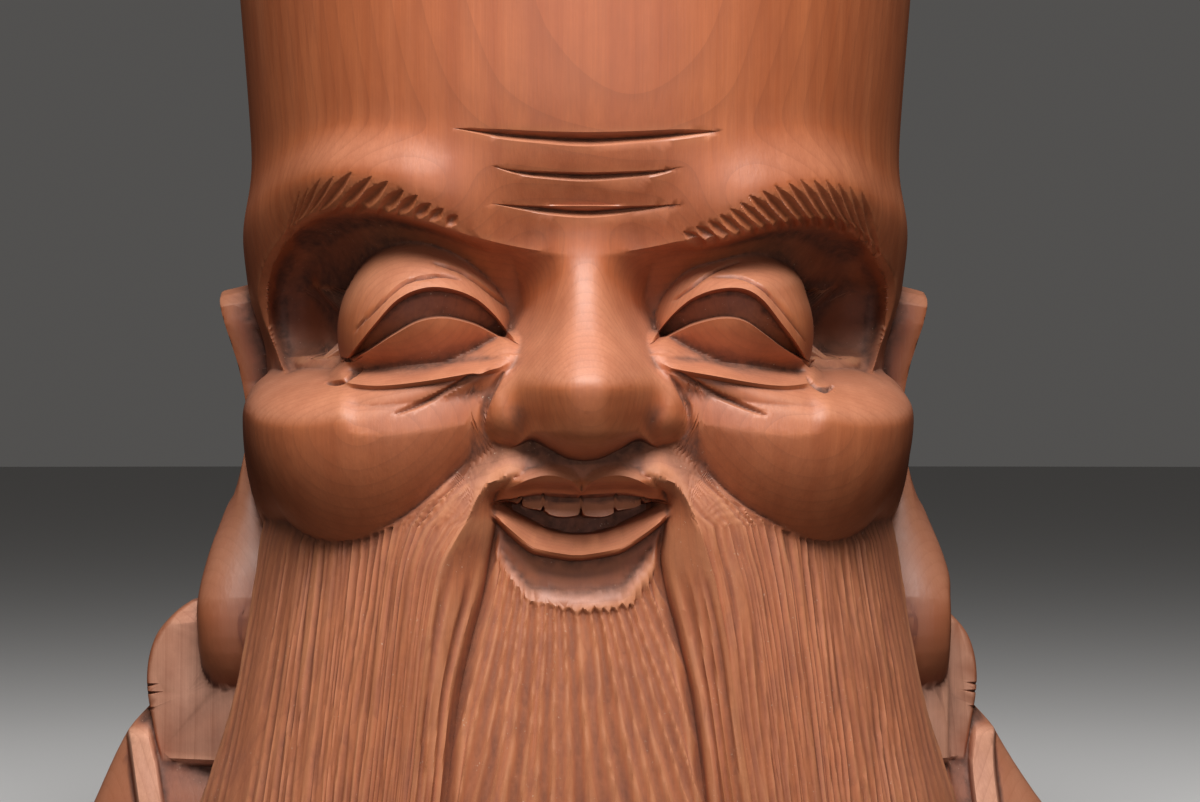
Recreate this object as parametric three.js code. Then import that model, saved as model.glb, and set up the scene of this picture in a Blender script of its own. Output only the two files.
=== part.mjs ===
// A carved wooden bust of an old sage: tall bald head, laughing face, long beard over a robe.
// One solid. Millimetres, +Z up, the face toward -Y, standing on the flat underside at z = 0.
//
// The wood is worked as a relief on an upright post: every form answers one question,
// how far the surface lies from the axis at an angle and a height. The finer cuts of eyes,
// mouth and moustache are then pushed along Y and the nose is laid over them. Lengths inside
// the functions are shares of the figure, hundredths of its height; the finished relief is
// brought to the bust's own width, depth and height at the end.
import * as THREE from "three";

// Driving sizes
const BUST_HEIGHT = 150;
const BUST_WIDTH = 131;
const BUST_DEPTH = 94;
const WOOD = { color: 0x8a4a2a, roughness: 0.42, metalness: 0 };

// Shares of the figure, in hundredths of its height
const CROWN = 100;
const DOME_START = 79;
const SECTION_POWER = 2.12;
const DOME_POWER = 2.15;
const BROW_OVERHANG = 3.8;
const BROW_SWELL = 2.3;
const BROW_CREST = 2.2;
const SOCKET_DROP = 2.2;
const SOCKET_HOLLOW = 3;
const BEARD_WALL = 7;
const COLLAR_TOP = 23.8;
const COLLAR_FOOT = 9.7;
const LAPEL_WIDTH = 2.2;
const LAPEL_RAISE = 1.3;

// Rounded forms of the face: centre, half sizes, tilt in the frontal plane and half-height below
const EYE_MOUND = { centre: [12.5, -15.3, 45.8], half: [7.5, 10, 8], tilt: -0.14 };
const LID_ROLL = { centre: [12.2, -14.8, 41.6], half: [9.4, 10.6, 4], tilt: -0.1 };
const CHEEK = { centre: [12.6, -12.7, 38], half: [14.9, 14.7, 5.4], droop: 13 };
const JOWL = { centre: [23.5, -6, 37.2], half: [4.6, 11, 4.4], droop: 11.2 };
// The nose's wing: middle, half sizes across, up and down, how far its rim stands, its rise
const NOSE_WING = { middle: [5.9, 39.3], wide: 3.3, up: 4.4, down: 3.4, rim: 21.5, rise: 6 };
// The collar's flat front end: a place on it, its direction, where its top falls back
const COLLAR_END = { place: [29, -7], toward: [4.5, -7.4], falls: 21.6, fall: 16 };

// Profiles, each a list of [height, size] unless it says otherwise
const HEAD_WIDTH = [[0, 24.5], [20, 24.5], [34, 25.6], [44, 26.3], [53, 26.95], [66, 27.85], [79, 28.9]];
const HEAD_FRONT = [[0, 24], [30, 25.2], [44, 25.5], [52, 25.5], [56, 26.1], [60, 26.9], [66, 27.5],
  [79, 27.4]];
const HEAD_BACK = [[0, 20], [22, 20.5], [34, 22.5], [50, 25.4], [66, 27], [79, 27.4]];
const BEARD_WIDTH = [[0, 35.6], [7, 34], [12, 32.4], [20, 30.4], [29, 28.4], [36, 26.5]];
const BEARD_FRONT = [[0, 30.8], [10, 30.2], [20, 29], [27, 27.8], [33, 26.9], [37, 25.9], [40, 24],
  [44, 20]];
const BEARD_EDGE = [[0, 33.5], [6.7, 32], [10.6, 30.7], [15.7, 29.1], [20.3, 28.2], [25.4, 27.45],
  [28.8, 27], [33, 26]];
const ROBE_WIDTH = [[0, 43.8], [5.9, 41.1], [12.25, 38.1], [14.7, 36], [20, 31], [25, 26], [34, 23]];
const ROBE_FRONT = [[0, 9], [6, 8], [11, 6], [20, 4.5], [34, 4.5]];
const LAPEL_EDGE = [[0, 33.6], [5.9, 34.7], [12.2, 35.8], [15, 36.4]];
const ROBE_BACK = [[0, 29.5], [6, 28.8], [13, 27.4], [20, 25], [27, 22], [34, 18]];
const COLLAR_WIDTH = [[8, 34.8], [13, 35.9], [17, 36.4], [20.3, 35.7], [22.4, 34], [23.8, 32]];
const COLLAR_DEPTH = [[8, 25.5], [13, 26], [20, 26.2], [24, 25], [27, 23]];
const EAR_OUT = [[11.5, 28.6], [13, 29.7], [15.5, 31], [17.6, 31.5], [20, 31.8], [23.4, 31.9], [27.2, 31.1],
  [30.8, 29.85], [34.6, 28.5], [38, 27.9], [42.7, 28.6], [48.4, 30.3], [50.5, 30.2]];
const EAR_FRONT = [[12.6, -4], [15, -6.2], [19, -8], [24, -8], [30, -5.6], [36, -2], [42, -0.2], [48.8, 0.5]];
const EAR_BACK = [[12.2, -2], [15, -0.4], [18, 1.5], [24, 4.4], [31, 7.4], [38, 10.6], [44, 12.2],
  [48.9, 10.8], [50.6, 5.5]];
// The nose: how far its ridge stands forward, how steeply its sides fall, how blunt the ridge is
const NOSE_RIDGE = [[34, 30.6], [36, 31.6], [38, 32.5], [40, 33.3], [41.5, 33.5], [43, 32.3], [46, 28.9],
  [49, 26.6], [51.5, 25.4], [54, 24.8]];
const NOSE_SLOPE = [[38, 2.1], [40, 2], [43, 2.1], [46, 2.6], [48, 2.8], [50, 2.5], [52, 1.2]];
const NOSE_BLUNT = [[38, 3.2], [40, 3.1], [42, 3], [45, 2.8], [50, 2.6], [53, 2.6]];
// [distance from the middle, height] across one half of the face
const NOSE_FOOT = [[0, 35.35], [1.3, 35.55], [2.8, 36.3], [3.9, 36.95], [4.6, 37], [5.5, 36.6], [6.4, 36.5],
  [7.5, 36.9], [8.4, 38.2], [9, 40]];
const BROW_ARCH = [[0, 51.9], [4, 52.4], [8.2, 53.3], [12.8, 54.9], [17.4, 55.9], [21, 55.5], [23.8, 53.8],
  [25.6, 51], [25.9, 47.3], [24.9, 43.6], [23.6, 41.2], [21.5, 38]];
const CHEEK_RIDGE = [[0, 44], [6.4, 42.5], [9.2, 41.2], [12.4, 39.45], [15.6, 38.4], [18.8, 37.9],
  [22, 38.3], [24.2, 39.2], [28, 40.2]];
const LID_RIM = [[5, 44.7], [5.7, 45.4], [7.25, 47.3], [8.85, 48.6], [11.1, 49.35], [13.1, 49.3],
  [15.1, 48.35], [17, 46.3], [19.2, 43.7], [19.8, 43.3]];
const BALL_TOP = [[5, 44.4], [5.95, 45], [7.45, 45.75], [9.05, 46.45], [11.3, 46.9], [13.3, 46.6],
  [15.4, 45.5], [17.2, 44.4], [19.2, 43.4], [19.8, 43.1]];
const LOWER_LID = [[5, 44.1], [6.4, 43.87], [10, 43.54], [14.1, 43.15], [18.2, 42.7], [19.8, 42.6]];
const EYE_FOLD = [[5, 43.7], [6.4, 43.2], [7, 42.9], [10, 42.33], [13.25, 41.8], [16.55, 41.5],
  [18.9, 41.7], [19.8, 42]];
const LIP_TOP = [[0, 33.1], [1, 33.95], [2.75, 34.35], [4.35, 34], [5.55, 33.4], [6.8, 33.1], [7.4, 32.7]];
const LIP_LOW = [[0, 32.71], [2.7, 32.87], [3.66, 32.87], [5.5, 32.5], [6.4, 32.4], [7.4, 32.1]];
const TEETH = [[0, 31.33], [0.4, 31.1], [1.6, 31], [2.5, 31.2], [2.8, 31.45], [4.4, 31.75], [4.9, 32],
  [6, 32.25], [7.4, 32]];
const GAPE = [[0, 29.5], [0.5, 29.5], [2.4, 29.85], [4.8, 31], [6.4, 31.85], [7.4, 31.9]];
const LIP_SOLE = [[0, 27.75], [0.5, 27.75], [2.7, 28.1], [3.7, 28.4], [5.15, 29.4], [6.8, 30.8],
  [7.4, 31.3]];
// [height, distance from the middle] of the moustache's crest and of the chin tuft's edge
const MOUSTACHE_CREST = [[0, 14.6], [5, 14], [12, 13], [20.2, 12], [24.3, 11.35], [26.4, 10.9],
  [28.4, 10.2], [31.2, 8.95], [32.4, 8.4], [33.2, 7.9], [33.8, 7.2], [34.4, 6]];
const TUFT_EDGE = [[0, 11.2], [8.6, 10.3], [16.6, 9.25], [21.3, 8.2], [24.5, 7.35], [27.7, 6.8],
  [30.05, 6.8], [32, 7], [33.2, 6.6], [34, 5.6], [34.6, 4.6]];
// How far the moustache stands proud, and the tuft lies sunk
const CREST_RISE = [[0, 0.1], [8, 0.35], [15, 0.7], [22, 1.1], [29, 1.5], [32.5, 1.2], [34, 0.8],
  [35.5, 0.3], [37, 0]];
const TUFT_SINK = [[0, 0.2], [8, 0.7], [16, 1.3], [24, 1.9], [30, 2], [32.2, 1.8], [33.2, 1.4], [34, 0.2],
  [37, 0]];

const clamp = (t) => Math.min(1, Math.max(0, t));
const ease = (t) => clamp(t) ** 2 * (3 - 2 * clamp(t));
const radians = (turn) => turn * Math.PI / 180;
const degrees = (turn) => turn * 180 / Math.PI;
const hump = (distance, width) => Math.exp(-((distance / width) ** 2));

// The larger of two, with the seam rounded over a width of k
function joined(a, b, k) {
  const h = clamp(0.5 + 0.5 * (a - b) / k);
  return b + (a - b) * h + k * h * (1 - h);
}

// Smooth curve through [place, value] points, level beyond its ends
function through(points, x) {
  const last = points.length - 1;
  let i = 0;
  while (i < last - 1 && points[i + 1][0] < x) i += 1;
  const rise = (k) => {
    const a = points[Math.max(k - 1, 0)];
    const b = points[Math.min(k + 1, last)];
    return (b[1] - a[1]) / (b[0] - a[0]);
  };
  const width = points[i + 1][0] - points[i][0];
  const t = clamp((x - points[i][0]) / width);
  const t2 = t * t;
  const t3 = t2 * t;
  return (2 * t3 - 3 * t2 + 1) * points[i][1] + (t3 - 2 * t2 + t) * width * rise(i)
    + (3 * t2 - 2 * t3) * points[i + 1][1] + (t3 - t2) * width * rise(i + 1);
}

// Catmull-Rom curve through points as a chain of short straights
function chain(points, parts) {
  const line = [];
  for (let i = 0; i < points.length - 1; i += 1) {
    const b = points[i];
    const c = points[i + 1];
    const a = points[i - 1] ?? [2 * b[0] - c[0], 2 * b[1] - c[1]];
    const d = points[i + 2] ?? [2 * c[0] - b[0], 2 * c[1] - b[1]];
    for (let k = 0; k < parts; k += 1) {
      const t = k / parts;
      line.push([0, 1].map((n) => 0.5 * (2 * b[n] + (c[n] - a[n]) * t
        + (2 * a[n] - 5 * b[n] + 4 * c[n] - d[n]) * t * t
        + (3 * b[n] - a[n] - 3 * c[n] + d[n]) * t ** 3)));
    }
  }
  line.push(points[points.length - 1]);
  return line;
}

// Distance from a chain, positive on the left of its run
function beside(line, x, z) {
  let best = Infinity;
  let side = 1;
  for (let i = 0; i < line.length - 1; i += 1) {
    const sx = line[i + 1][0] - line[i][0];
    const sz = line[i + 1][1] - line[i][1];
    const dx = x - line[i][0];
    const dz = z - line[i][1];
    const t = clamp((dx * sx + dz * sz) / (sx * sx + sz * sz));
    const d = (dx - t * sx) ** 2 + (dz - t * sz) ** 2;
    if (d < best) {
      best = d;
      side = sx * dz - sz * dx < 0 ? -1 : 1;
    }
  }
  return side * Math.sqrt(best);
}

const ARCH_LINE = chain(BROW_ARCH, 6);
const EAR_LINE = chain([...EAR_FRONT, ...EAR_BACK.toReversed(), EAR_FRONT[0]].map(([z, y]) => [y, z]), 3);

// Radius of a rounded oval with half-width a and half-depth b
function oval(angle, a, b, power) {
  const s = Math.abs(Math.sin(angle)) / a;
  const c = Math.abs(Math.cos(angle)) / b;
  return (s ** power + c ** power) ** (-1 / power);
}

// Where the ray at this angle and height leaves a rounded form
function ball(angle, z, { centre, half, tilt = 0, droop = half[2] }) {
  const tall = z < centre[2] ? droop : half[2];
  const dz = z - centre[2];
  const dx = Math.sin(angle);
  const ct = Math.cos(tilt);
  const st = Math.sin(tilt);
  const u = [ct * dx / half[0], -Math.cos(angle) / half[1], -st * dx / tall];
  const sideways = -ct * centre[0] + st * dz;
  const upward = st * centre[0] + ct * dz;
  const v = [sideways / half[0], -centre[1] / half[1], upward / tall];
  const a = u[0] * u[0] + u[1] * u[1] + u[2] * u[2];
  const b = u[0] * v[0] + u[1] * v[1] + u[2] * v[2];
  const c = v[0] * v[0] + v[1] * v[1] + v[2] * v[2] - 1;
  const reach = b * b - a * c;
  return (-b + Math.sign(reach) * Math.sqrt(Math.abs(reach))) / a;
}

// The bare head, tall and domed
function head(angle, z) {
  const level = Math.min(z, DOME_START);
  const deep = Math.cos(angle) > 0 ? HEAD_FRONT : HEAD_BACK;
  const top = clamp((z - DOME_START) / (CROWN - DOME_START));
  const section = oval(angle, through(HEAD_WIDTH, level), through(deep, level), SECTION_POWER);
  return section * (1 - top ** DOME_POWER) ** (1 / DOME_POWER);
}

// The head with the sockets cut back under the overhanging brow
function browed(angle, z) {
  const bare = head(angle, z);
  const across = bare * Math.sin(angle);
  if (angle > radians(98) || z > 66) return bare;
  const above = z > 60 ? Math.max(1, beside(ARCH_LINE, across, z)) : beside(ARCH_LINE, across, z);
  const fading = 1 - 0.45 * ease((across - 18) / 7);
  const swell = BROW_SWELL * fading * ease((across - 5) / 9) * ease((z - 44) / 6);
  const bevel = 1 - 0.3 * (1 - clamp(above / BROW_CREST)) ** 2;
  const brow = swell * bevel * hump(Math.max(above - BROW_CREST, 0), 3.2) * ease(1 + above * 0.9);
  if (above >= 0) return bare + brow;
  const most = BROW_OVERHANG + SOCKET_DROP * ease((54 - z) / 8);
  const rate = 2.2 + 2.5 * ease((across - 19) / 4);
  const cut = most * (1 - Math.exp(rate * above / most));
  return bare + brow - cut * Math.min(0.03 + 0.16 * across, 1);
}

// Eye mounds and cheeks laid on the head
function features(angle, z, ground) {
  const mound = ball(angle, z, EYE_MOUND);
  const lid = ball(angle, z, LID_ROLL);
  const bent = z - through(CHEEK_RIDGE, 26.5 * Math.sin(angle)) + CHEEK.centre[2];
  const cheek = ball(angle, bent, CHEEK);
  const jowl = ball(angle, bent, JOWL);
  const eyes = joined(joined(ground, mound, 0.9), lid, 0.8);
  return joined(eyes, joined(cheek, jowl, 1.6), 0.7);
}

// A rounded boss on the face
function boss(across, z, { middle: [cx, cz], wide, up, down, rim, rise }) {
  const out = Math.hypot((across - cx) / wide, (z - cz) / (z > cz ? up : down));
  return rim + rise * (out < 1 ? Math.sqrt(1 - out * out) : 2 * (1 - out));
}

// How far forward the nose stands
function nose(across, z) {
  if (z < 34 || z > 56 || across > 10) return 0;
  const blunt = through(NOSE_BLUNT, z);
  const flank = through(NOSE_RIDGE, z) - through(NOSE_SLOPE, z) * (Math.hypot(across, blunt) - blunt);
  const wing = boss(across, z, NOSE_WING);
  const rise = 1 - clamp((z - through(NOSE_FOOT, across)) / 4.4);
  const under = 24 + 9.8 * Math.sqrt(1 - rise * rise);
  return -joined(-joined(flank, wing, 1.6), -under, 0.8);
}

// Long ears: a hollowed upper shell and a thick hanging lobe
function eared(angle, z, ground) {
  if (angle < radians(55) || angle > radians(130) || z < 11.5 || z > 51) return ground;
  const inside = -beside(EAR_LINE, -ground * Math.cos(angle), z);
  if (inside <= 0) return ground;
  const out = through(EAR_OUT, z) / Math.max(Math.sin(angle), 0.5);
  const shell = ease((z - 31) / 6);
  const round = Math.sqrt(1 - (1 - clamp(inside / 3.4)) ** 2);
  const rise = round + (ease(inside / 0.9) - round) * shell;
  const hollow = 0.55 * ease((inside - 1.5) / 1.3) * shell;
  return Math.max(ground, ground + (out - ground) * rise * (1 - hollow));
}

// The beard as one mass, falling away in a wall at its outer edge
function beard(angle, z) {
  const level = Math.min(z, 44);
  const r = oval(angle, through(BEARD_WIDTH, level), through(BEARD_FRONT, level), 2.08);
  const beyond = angle > Math.PI / 2 ? 9 : r * Math.sin(angle) - through(BEARD_EDGE, level);
  return r - BEARD_WALL * ease(beyond / 0.9 + 0.5);
}

function robe(angle, z) {
  const level = Math.min(z, 34);
  const deep = Math.cos(angle) > 0 ? ROBE_FRONT : ROBE_BACK;
  return oval(angle, through(ROBE_WIDTH, level), through(deep, level), 2.3) - 40 * ease((z - 22) / 12);
}

// Thick standing collar, its front ends cut flat
function collar(angle, z) {
  const level = clamp((z - 3) / 27) * 27 + 3;
  const { place: [px, py], toward: [nx, ny], falls, fall } = COLLAR_END;
  const toward = Math.sin(angle) * nx - Math.cos(angle) * ny;
  const back = fall * clamp((level - falls) / 2.2) ** 1.2;
  const facet = toward > 0.2 ? (px * nx + py * ny - back) / toward : 99;
  const round = oval(angle, through(COLLAR_WIDTH, level), through(COLLAR_DEPTH, level), 2.2);
  const r = -joined(-round, -facet, 0.4);
  const nape = ease((angle - radians(95)) / radians(50));
  const top = COLLAR_TOP + 3.6 * nape;
  const foot = COLLAR_FOOT - 3 * nape;
  const ends = 5.5 * ease((level - top) / 0.8 + 0.5) + 4 * ease((foot - level) / 0.7 + 0.5);
  return r - ends - 60 * ease((z - 27) / 4) - 60 * ease((7 - z) / 4);
}

// Straight-line value down a list of [height, depth] marks, nothing beyond its ends
function stepped(z, marks) {
  for (let i = 0; i < marks.length - 1; i += 1) {
    const [high, atHigh] = marks[i];
    const [low, atLow] = marks[i + 1];
    if (z <= high && z > low) return atLow + (atHigh - atLow) * (z - low) / (high - low);
  }
  return 0;
}

// Lids, slit and pouch of one eye, as depth toward the front
function eye(across, z) {
  if (across < 4.9 || across > 20.2) return 0;
  const outer = ease((19.9 - across) / 1.8);
  const ends = ease((across - 5.1) / 1.6) * outer;
  const inner = ease((across - 5.8) / 3) * outer;
  const rim = through(LID_RIM, across);
  const top = through(BALL_TOP, across);
  const line = through(LOWER_LID, across);
  const fold = through(EYE_FOLD, across);
  const deep = Math.min(2.3, 1.1 * (rim - top) + 0.9) * ends;
  return stepped(z, [[rim + 2.6, 0], [rim + 0.9, 0.25 * ends], [rim, 0.55 * ends],
    [rim - 0.35, -0.8 * deep], [top + 0.25, -deep - 0.5 * ends], [top, -0.1 * ends],
    [line + 0.05, -1.9 * inner], [line - 0.1, -1.9 * inner], [fold, 0.55 * inner],
    [fold - 0.35, -0.35 * inner], [fold - 1.6, -0.8 * inner], [fold - 4, 0]]);
}

// Lips, teeth and the open mouth, as depth toward the front
function mouth(across, z) {
  if (across > 7.6) return 0;
  const ends = ease((7.5 - across) / 1.6);
  const high = through(LIP_TOP, across);
  const low = through(LIP_LOW, across);
  const teeth = Math.min(through(TEETH, across), low - 0.05);
  const gape = through(GAPE, across);
  const sole = through(LIP_SOLE, across);
  const hole = (-0.8 - 2.4 * clamp((teeth - gape) / 0.8)) * ends;
  return stepped(z, [[high + 3.2, 0], [high + 0.9, 0.35 * ends], [high, 1.3 * ends],
    [high - 0.12, 1.2 * ends], [low, 0.5 * ends], [low - 0.12, -0.6 * ends], [teeth, 0],
    [teeth - 0.15, hole], [gape + 0.12, hole], [gape, -1.6 * ends], [sole + 0.25, 1.7 * ends],
    [sole, 1.5 * ends], [sole - 0.3, -0.5 * ends], [sole - 1.2, -0.3 * ends], [24.6, -0.7 * ends],
    [23.6, 0]]);
}

// Two moustache strands standing proud of the chin tuft between them
function moustache(across, z) {
  const ridge = through(MOUSTACHE_CREST, z);
  const edge = through(TUFT_EDGE, z);
  const crest = through(CREST_RISE, z);
  const sunk = through(TUFT_SINK, z);
  const foot = sunk + 0.5 * ease((31 - z) / 4);
  const up = clamp((across - edge) / Math.max(ridge - edge, 0.3));
  let level = crest * hump(Math.max(across - ridge, 0), 6);
  if (across < ridge) level = -foot + (crest + foot) * up ** 0.8;
  if (across < edge) level = -sunk;
  const crack = -0.9 * hump(across - edge, 0.28) * ease((30.5 - z) / 2);
  return (level + crack) * ease((36.6 - z) / 1.8) * ease((22 - across) / 6);
}

// Flat band down the robe's front opening, as depth toward the front
function lapel(across, z) {
  const edge = through(LAPEL_EDGE, z);
  const band = ease((across - edge) / 0.4 + 0.5) * ease((edge + LAPEL_WIDTH - across) / 0.5 + 0.5);
  return LAPEL_RAISE * band * ease((13.4 - z) / 1.6);
}

// Depth of the hollow at the socket's outer side, which drops straight back from its rim
function socket(across, z) {
  if (across < 17 || z < 38 || z > 57) return 0;
  const inside = Math.min(beside(ARCH_LINE, across, z), 0);
  return SOCKET_HOLLOW * ease((across - 17) / 6) * (1 - Math.exp(inside)) * ease((z - 38) / 3);
}

// Surface radius before the fine cuts, and how far it is hair, robe and open socket
function broad(angle, z) {
  const mass = z < 44 ? beard(angle, z) : -1;
  const ground = browed(angle, z);
  const face = features(angle, z, ground);
  const skin = eared(angle, z, face);
  const hairy = z < 44 ? joined(skin, mass, 0.2) : skin;
  const cloth = z < 34 ? robe(angle, z) : 0;
  const rest = Math.max(hairy, z < 31 ? collar(angle, z) : 0);
  const r = Math.max(rest, cloth);
  const hollow = ease(1 - (face - ground) / 0.3) * ease(1 - (r - face) / 0.1);
  return { r, hair: ease((mass - r + 0.5) / 0.5), cloth: ease((cloth - rest) / 0.6), hollow };
}

// A point of one half of the surface at an angle from the front and a height
function carved(angle, z) {
  const { r, hair, cloth, hollow } = broad(angle, z);
  const x = r * Math.sin(angle);
  const forward = r * Math.cos(angle);
  if (angle > Math.PI / 2) return [x, -forward, z];
  const raised = moustache(x, z) * hair + lapel(x, z) * cloth;
  const cuts = eye(x, z) + mouth(x, z) + raised - socket(x, z) * hollow;
  const seam = 0.5 + 1.6 * ease((z - 45) / 5);
  return [x, -joined(forward + cuts, nose(x, z), seam), z];
}

// Columns of the surface. The front ones keep a set distance from the middle, the side ones an
// angle; both are drawn onto the edges of tuft, moustache, beard and ears.
const FRONT_PLACES = [0, 1.15, 2.3, 3.45, 4.6, 5.7, 6.7, 7.3, 8.3, 9.4, 10.4, 11.4, 12.4, 13.4, 14.4, 15.4,
  16.4, 17.4, 18.4, 19.3];
const SIDE_ANGLES = [52, 56, 60, 64, 67.5, 70.2, 72.2, 76, 80, 84, 86, 91, 96, 101, 106, 108, 114, 121, 128,
  136, 144, 152, 161, 170];
// [height, distance from the middle] of the column that follows the tuft's edge and the nose
const SEAM = [[0, 11.2], [8.6, 10.3], [16.6, 9.25], [21.3, 8.2], [24.5, 7.35], [27.7, 6.8], [30.05, 6.8],
  [32, 7], [34, 6.9], [36, 7.1], [37.5, 7.9], [39.3, 8.5], [41, 8.1], [43, 6.9], [46, 5.8], [52, 6.4]];
const BEARD_COLUMN = 72.2;
const EAR_COLUMNS = [84, 86, 106, 108];
const LAPEL_COLUMNS = [80, 84, 86, 91];

function between(pairs, x) {
  let i = 0;
  while (i < pairs.length - 2 && pairs[i + 1][0] < x) i += 1;
  const [x0, y0] = pairs[i];
  const [x1, y1] = pairs[i + 1];
  return y0 + (y1 - y0) * (x - x0) / (x1 - x0);
}

// The angle at which the surface stands this far from the middle
function angleAt(across, z, from = 0, to = 66) {
  let low = radians(from);
  let high = radians(to);
  for (let i = 0; i < 22; i += 1) {
    const middle = (low + high) / 2;
    if (broad(middle, z).r * Math.sin(middle) < across) low = middle;
    else high = middle;
  }
  return low;
}

function columnAngle(k, z) {
  if (k === 0) return 0;
  const last = FRONT_PLACES.length - 1;
  const edge = through(SEAM, z);
  const ridge = through(MOUSTACHE_CREST, Math.min(z, 31)) + 0.8 * hump(z - 40, 4);
  const places = [[0, 0], [6.7, edge - 0.2], [7.3, edge + 0.3], [9.4, ridge], [19.3, 19.3]];
  if (k <= last) return angleAt(between(places, FRONT_PLACES[k]), z);
  const start = degrees(angleAt(FRONT_PLACES[last], z));
  const share = ease((z - 10) / 5) * ease((56 - z) / 5);
  const toward = (nominal, y) => nominal + (90 + degrees(Math.asin(y / 27)) - nominal) * share;
  const [frontEdge, frontFoot, backFoot, backEdge] = EAR_COLUMNS;
  const earFront = toward(frontEdge, through(EAR_FRONT, z));
  const earBack = toward(backEdge, through(EAR_BACK, z));
  const turns = [[48, start], [BEARD_COLUMN, BEARD_COLUMN]];
  if (z < 13) {
    const band = through(LAPEL_EDGE, z);
    const steps = [-0.25, 0.25, LAPEL_WIDTH - 0.3, LAPEL_WIDTH + 0.3];
    const spots = steps.map((step) => degrees(angleAt(band + step, z, 74, 90)));
    turns.push(...LAPEL_COLUMNS.map((nominal, i) => [nominal, spots[i] + i * 0.1]));
  } else turns.push([frontEdge, earFront - 0.4], [frontFoot, earFront + 1.6]);
  turns.push([backFoot, earBack - 1.8], [backEdge, earBack], [128, 128], [170, 170]);
  return radians(between(turns, SIDE_ANGLES[k - last - 1]));
}

// Rows of the surface: heights bent so that they run along lips, cheeks, lids and brow
const LOW_ROWS = [0, 3, 6, 9.2, 10.2, 12, 13.8, 15.6, 17.5, 19.2, 20.9];
const FACE_ROWS = [22.4, 23.5, 24.6, 26, 27.3, 28.3, 29.3, 30.2, 31.1, 32, 33, 34.1, 35.1, 35.9, 36.5, 37.1,
  37.9, 38.8, 40, 41.1, 42.1, 43, 43.9, 44.8, 45.7, 46.6, 47.5, 48.5, 49.5, 50.5, 51.5, 52.5, 53.2, 54.5,
  57, 60.5];
const HIGH_ROWS = [64, 69, 74, 79, 83.6, 87.8, 91.5, 94.6, 97, 98.8];
const CHEEK_FOOT = [[8, 33.3], [10.8, 32.9], [13.6, 31], [16.9, 29.55], [20.2, 28.95], [23.2, 29.3],
  [25.85, 30.7], [27.3, 32.9], [28, 34]];
const LIP_ROW = 3;
const FOOT_ROW = 7;
const NOSE_ROW = 13;
const EYE_ROW = 19;
const ARCH_ROW = 31;

function rowHeights(angle, across) {
  const heights = [...FACE_ROWS];
  const spread = (from, to) => {
    for (let i = from + 1; i < to; i += 1) {
      heights[i] = heights[from] + (heights[to] - heights[from]) * (i - from) / (to - from);
    }
  };
  const mix = (row, target, share) => {
    heights[row] += (target - heights[row]) * share;
  };
  const facing = ease((radians(100) - angle) / radians(12));
  mix(FOOT_ROW, through(CHEEK_FOOT, across), facing);
  spread(LIP_ROW - 1, FOOT_ROW);
  spread(FOOT_ROW, EYE_ROW);
  const lips = ease((11.6 - across) / 4) * facing;
  const sole = through(LIP_SOLE, across);
  const gape = through(GAPE, across);
  const teeth = through(TEETH, across);
  const low = through(LIP_LOW, across);
  const high = through(LIP_TOP, across);
  [sole - 0.6, sole, (sole + gape) / 2, gape, (gape + teeth) / 2, teeth, low, (low + high) / 2, high]
    .forEach((target, i) => mix(LIP_ROW + i, target, lips));
  for (let i = LIP_ROW + 9; i < EYE_ROW; i += 1) mix(i, FACE_ROWS[i], lips);
  const nostrils = ease((10.4 - across) / 1.8) * facing;
  [0, 0.35, 1, 2.1].forEach((step, i) => mix(NOSE_ROW + i, through(NOSE_FOOT, across) + step, nostrils));
  const eyes = ease((across - 3) / 2.2) * ease((22.5 - across) / 3) * facing;
  const fold = through(EYE_FOLD, across);
  const lid = through(LOWER_LID, across);
  const top = through(BALL_TOP, across);
  const rim = through(LID_RIM, across);
  [fold - 0.6, fold, lid, (lid + top) / 2, top, top + 0.3, rim - 0.35, rim, rim + 1.2]
    .forEach((target, i) => mix(EYE_ROW + i, target, eyes));
  const arch = through(BROW_ARCH.slice(0, 7), across);
  [arch - 0.5, arch + 0.1, arch + 1.2, (arch + 61.7) / 2]
    .forEach((target, i) => mix(ARCH_ROW + i, target, facing));
  spread(EYE_ROW + 8, ARCH_ROW);
  for (let i = 1; i < heights.length; i += 1) heights[i] = Math.max(heights[i], heights[i - 1] + 0.15);
  return [...LOW_ROWS, ...heights, ...HIGH_ROWS];
}

// Left and right differ a little: mouth and beard lean left, the right brow sits lower
function uneven([x, y, z]) {
  const lean = 0.3 + 0.45 * ease((31 - z) / 4);
  const beard = lean * ease((37 - z) / 4) * ease((17 - Math.abs(x)) / 6);
  const lid = 0.85 * ease((x - 11) / 6) * ease((24 - x) / 4) * ease((z - 39.5) / 3) * ease((52.5 - z) / 4);
  const shoulder = 2.2 * ease((x - 31) / 3) * ease((26.5 - z) / 3) * ease(z / 12);
  const brow = 0.9 * ease((x - 7) / 5) * ease((z - 49) / 3.5) * ease((64 - z) / 6) * ease((28 - x) / 3);
  return [x - beard - lid - shoulder, y, z - brow];
}

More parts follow.
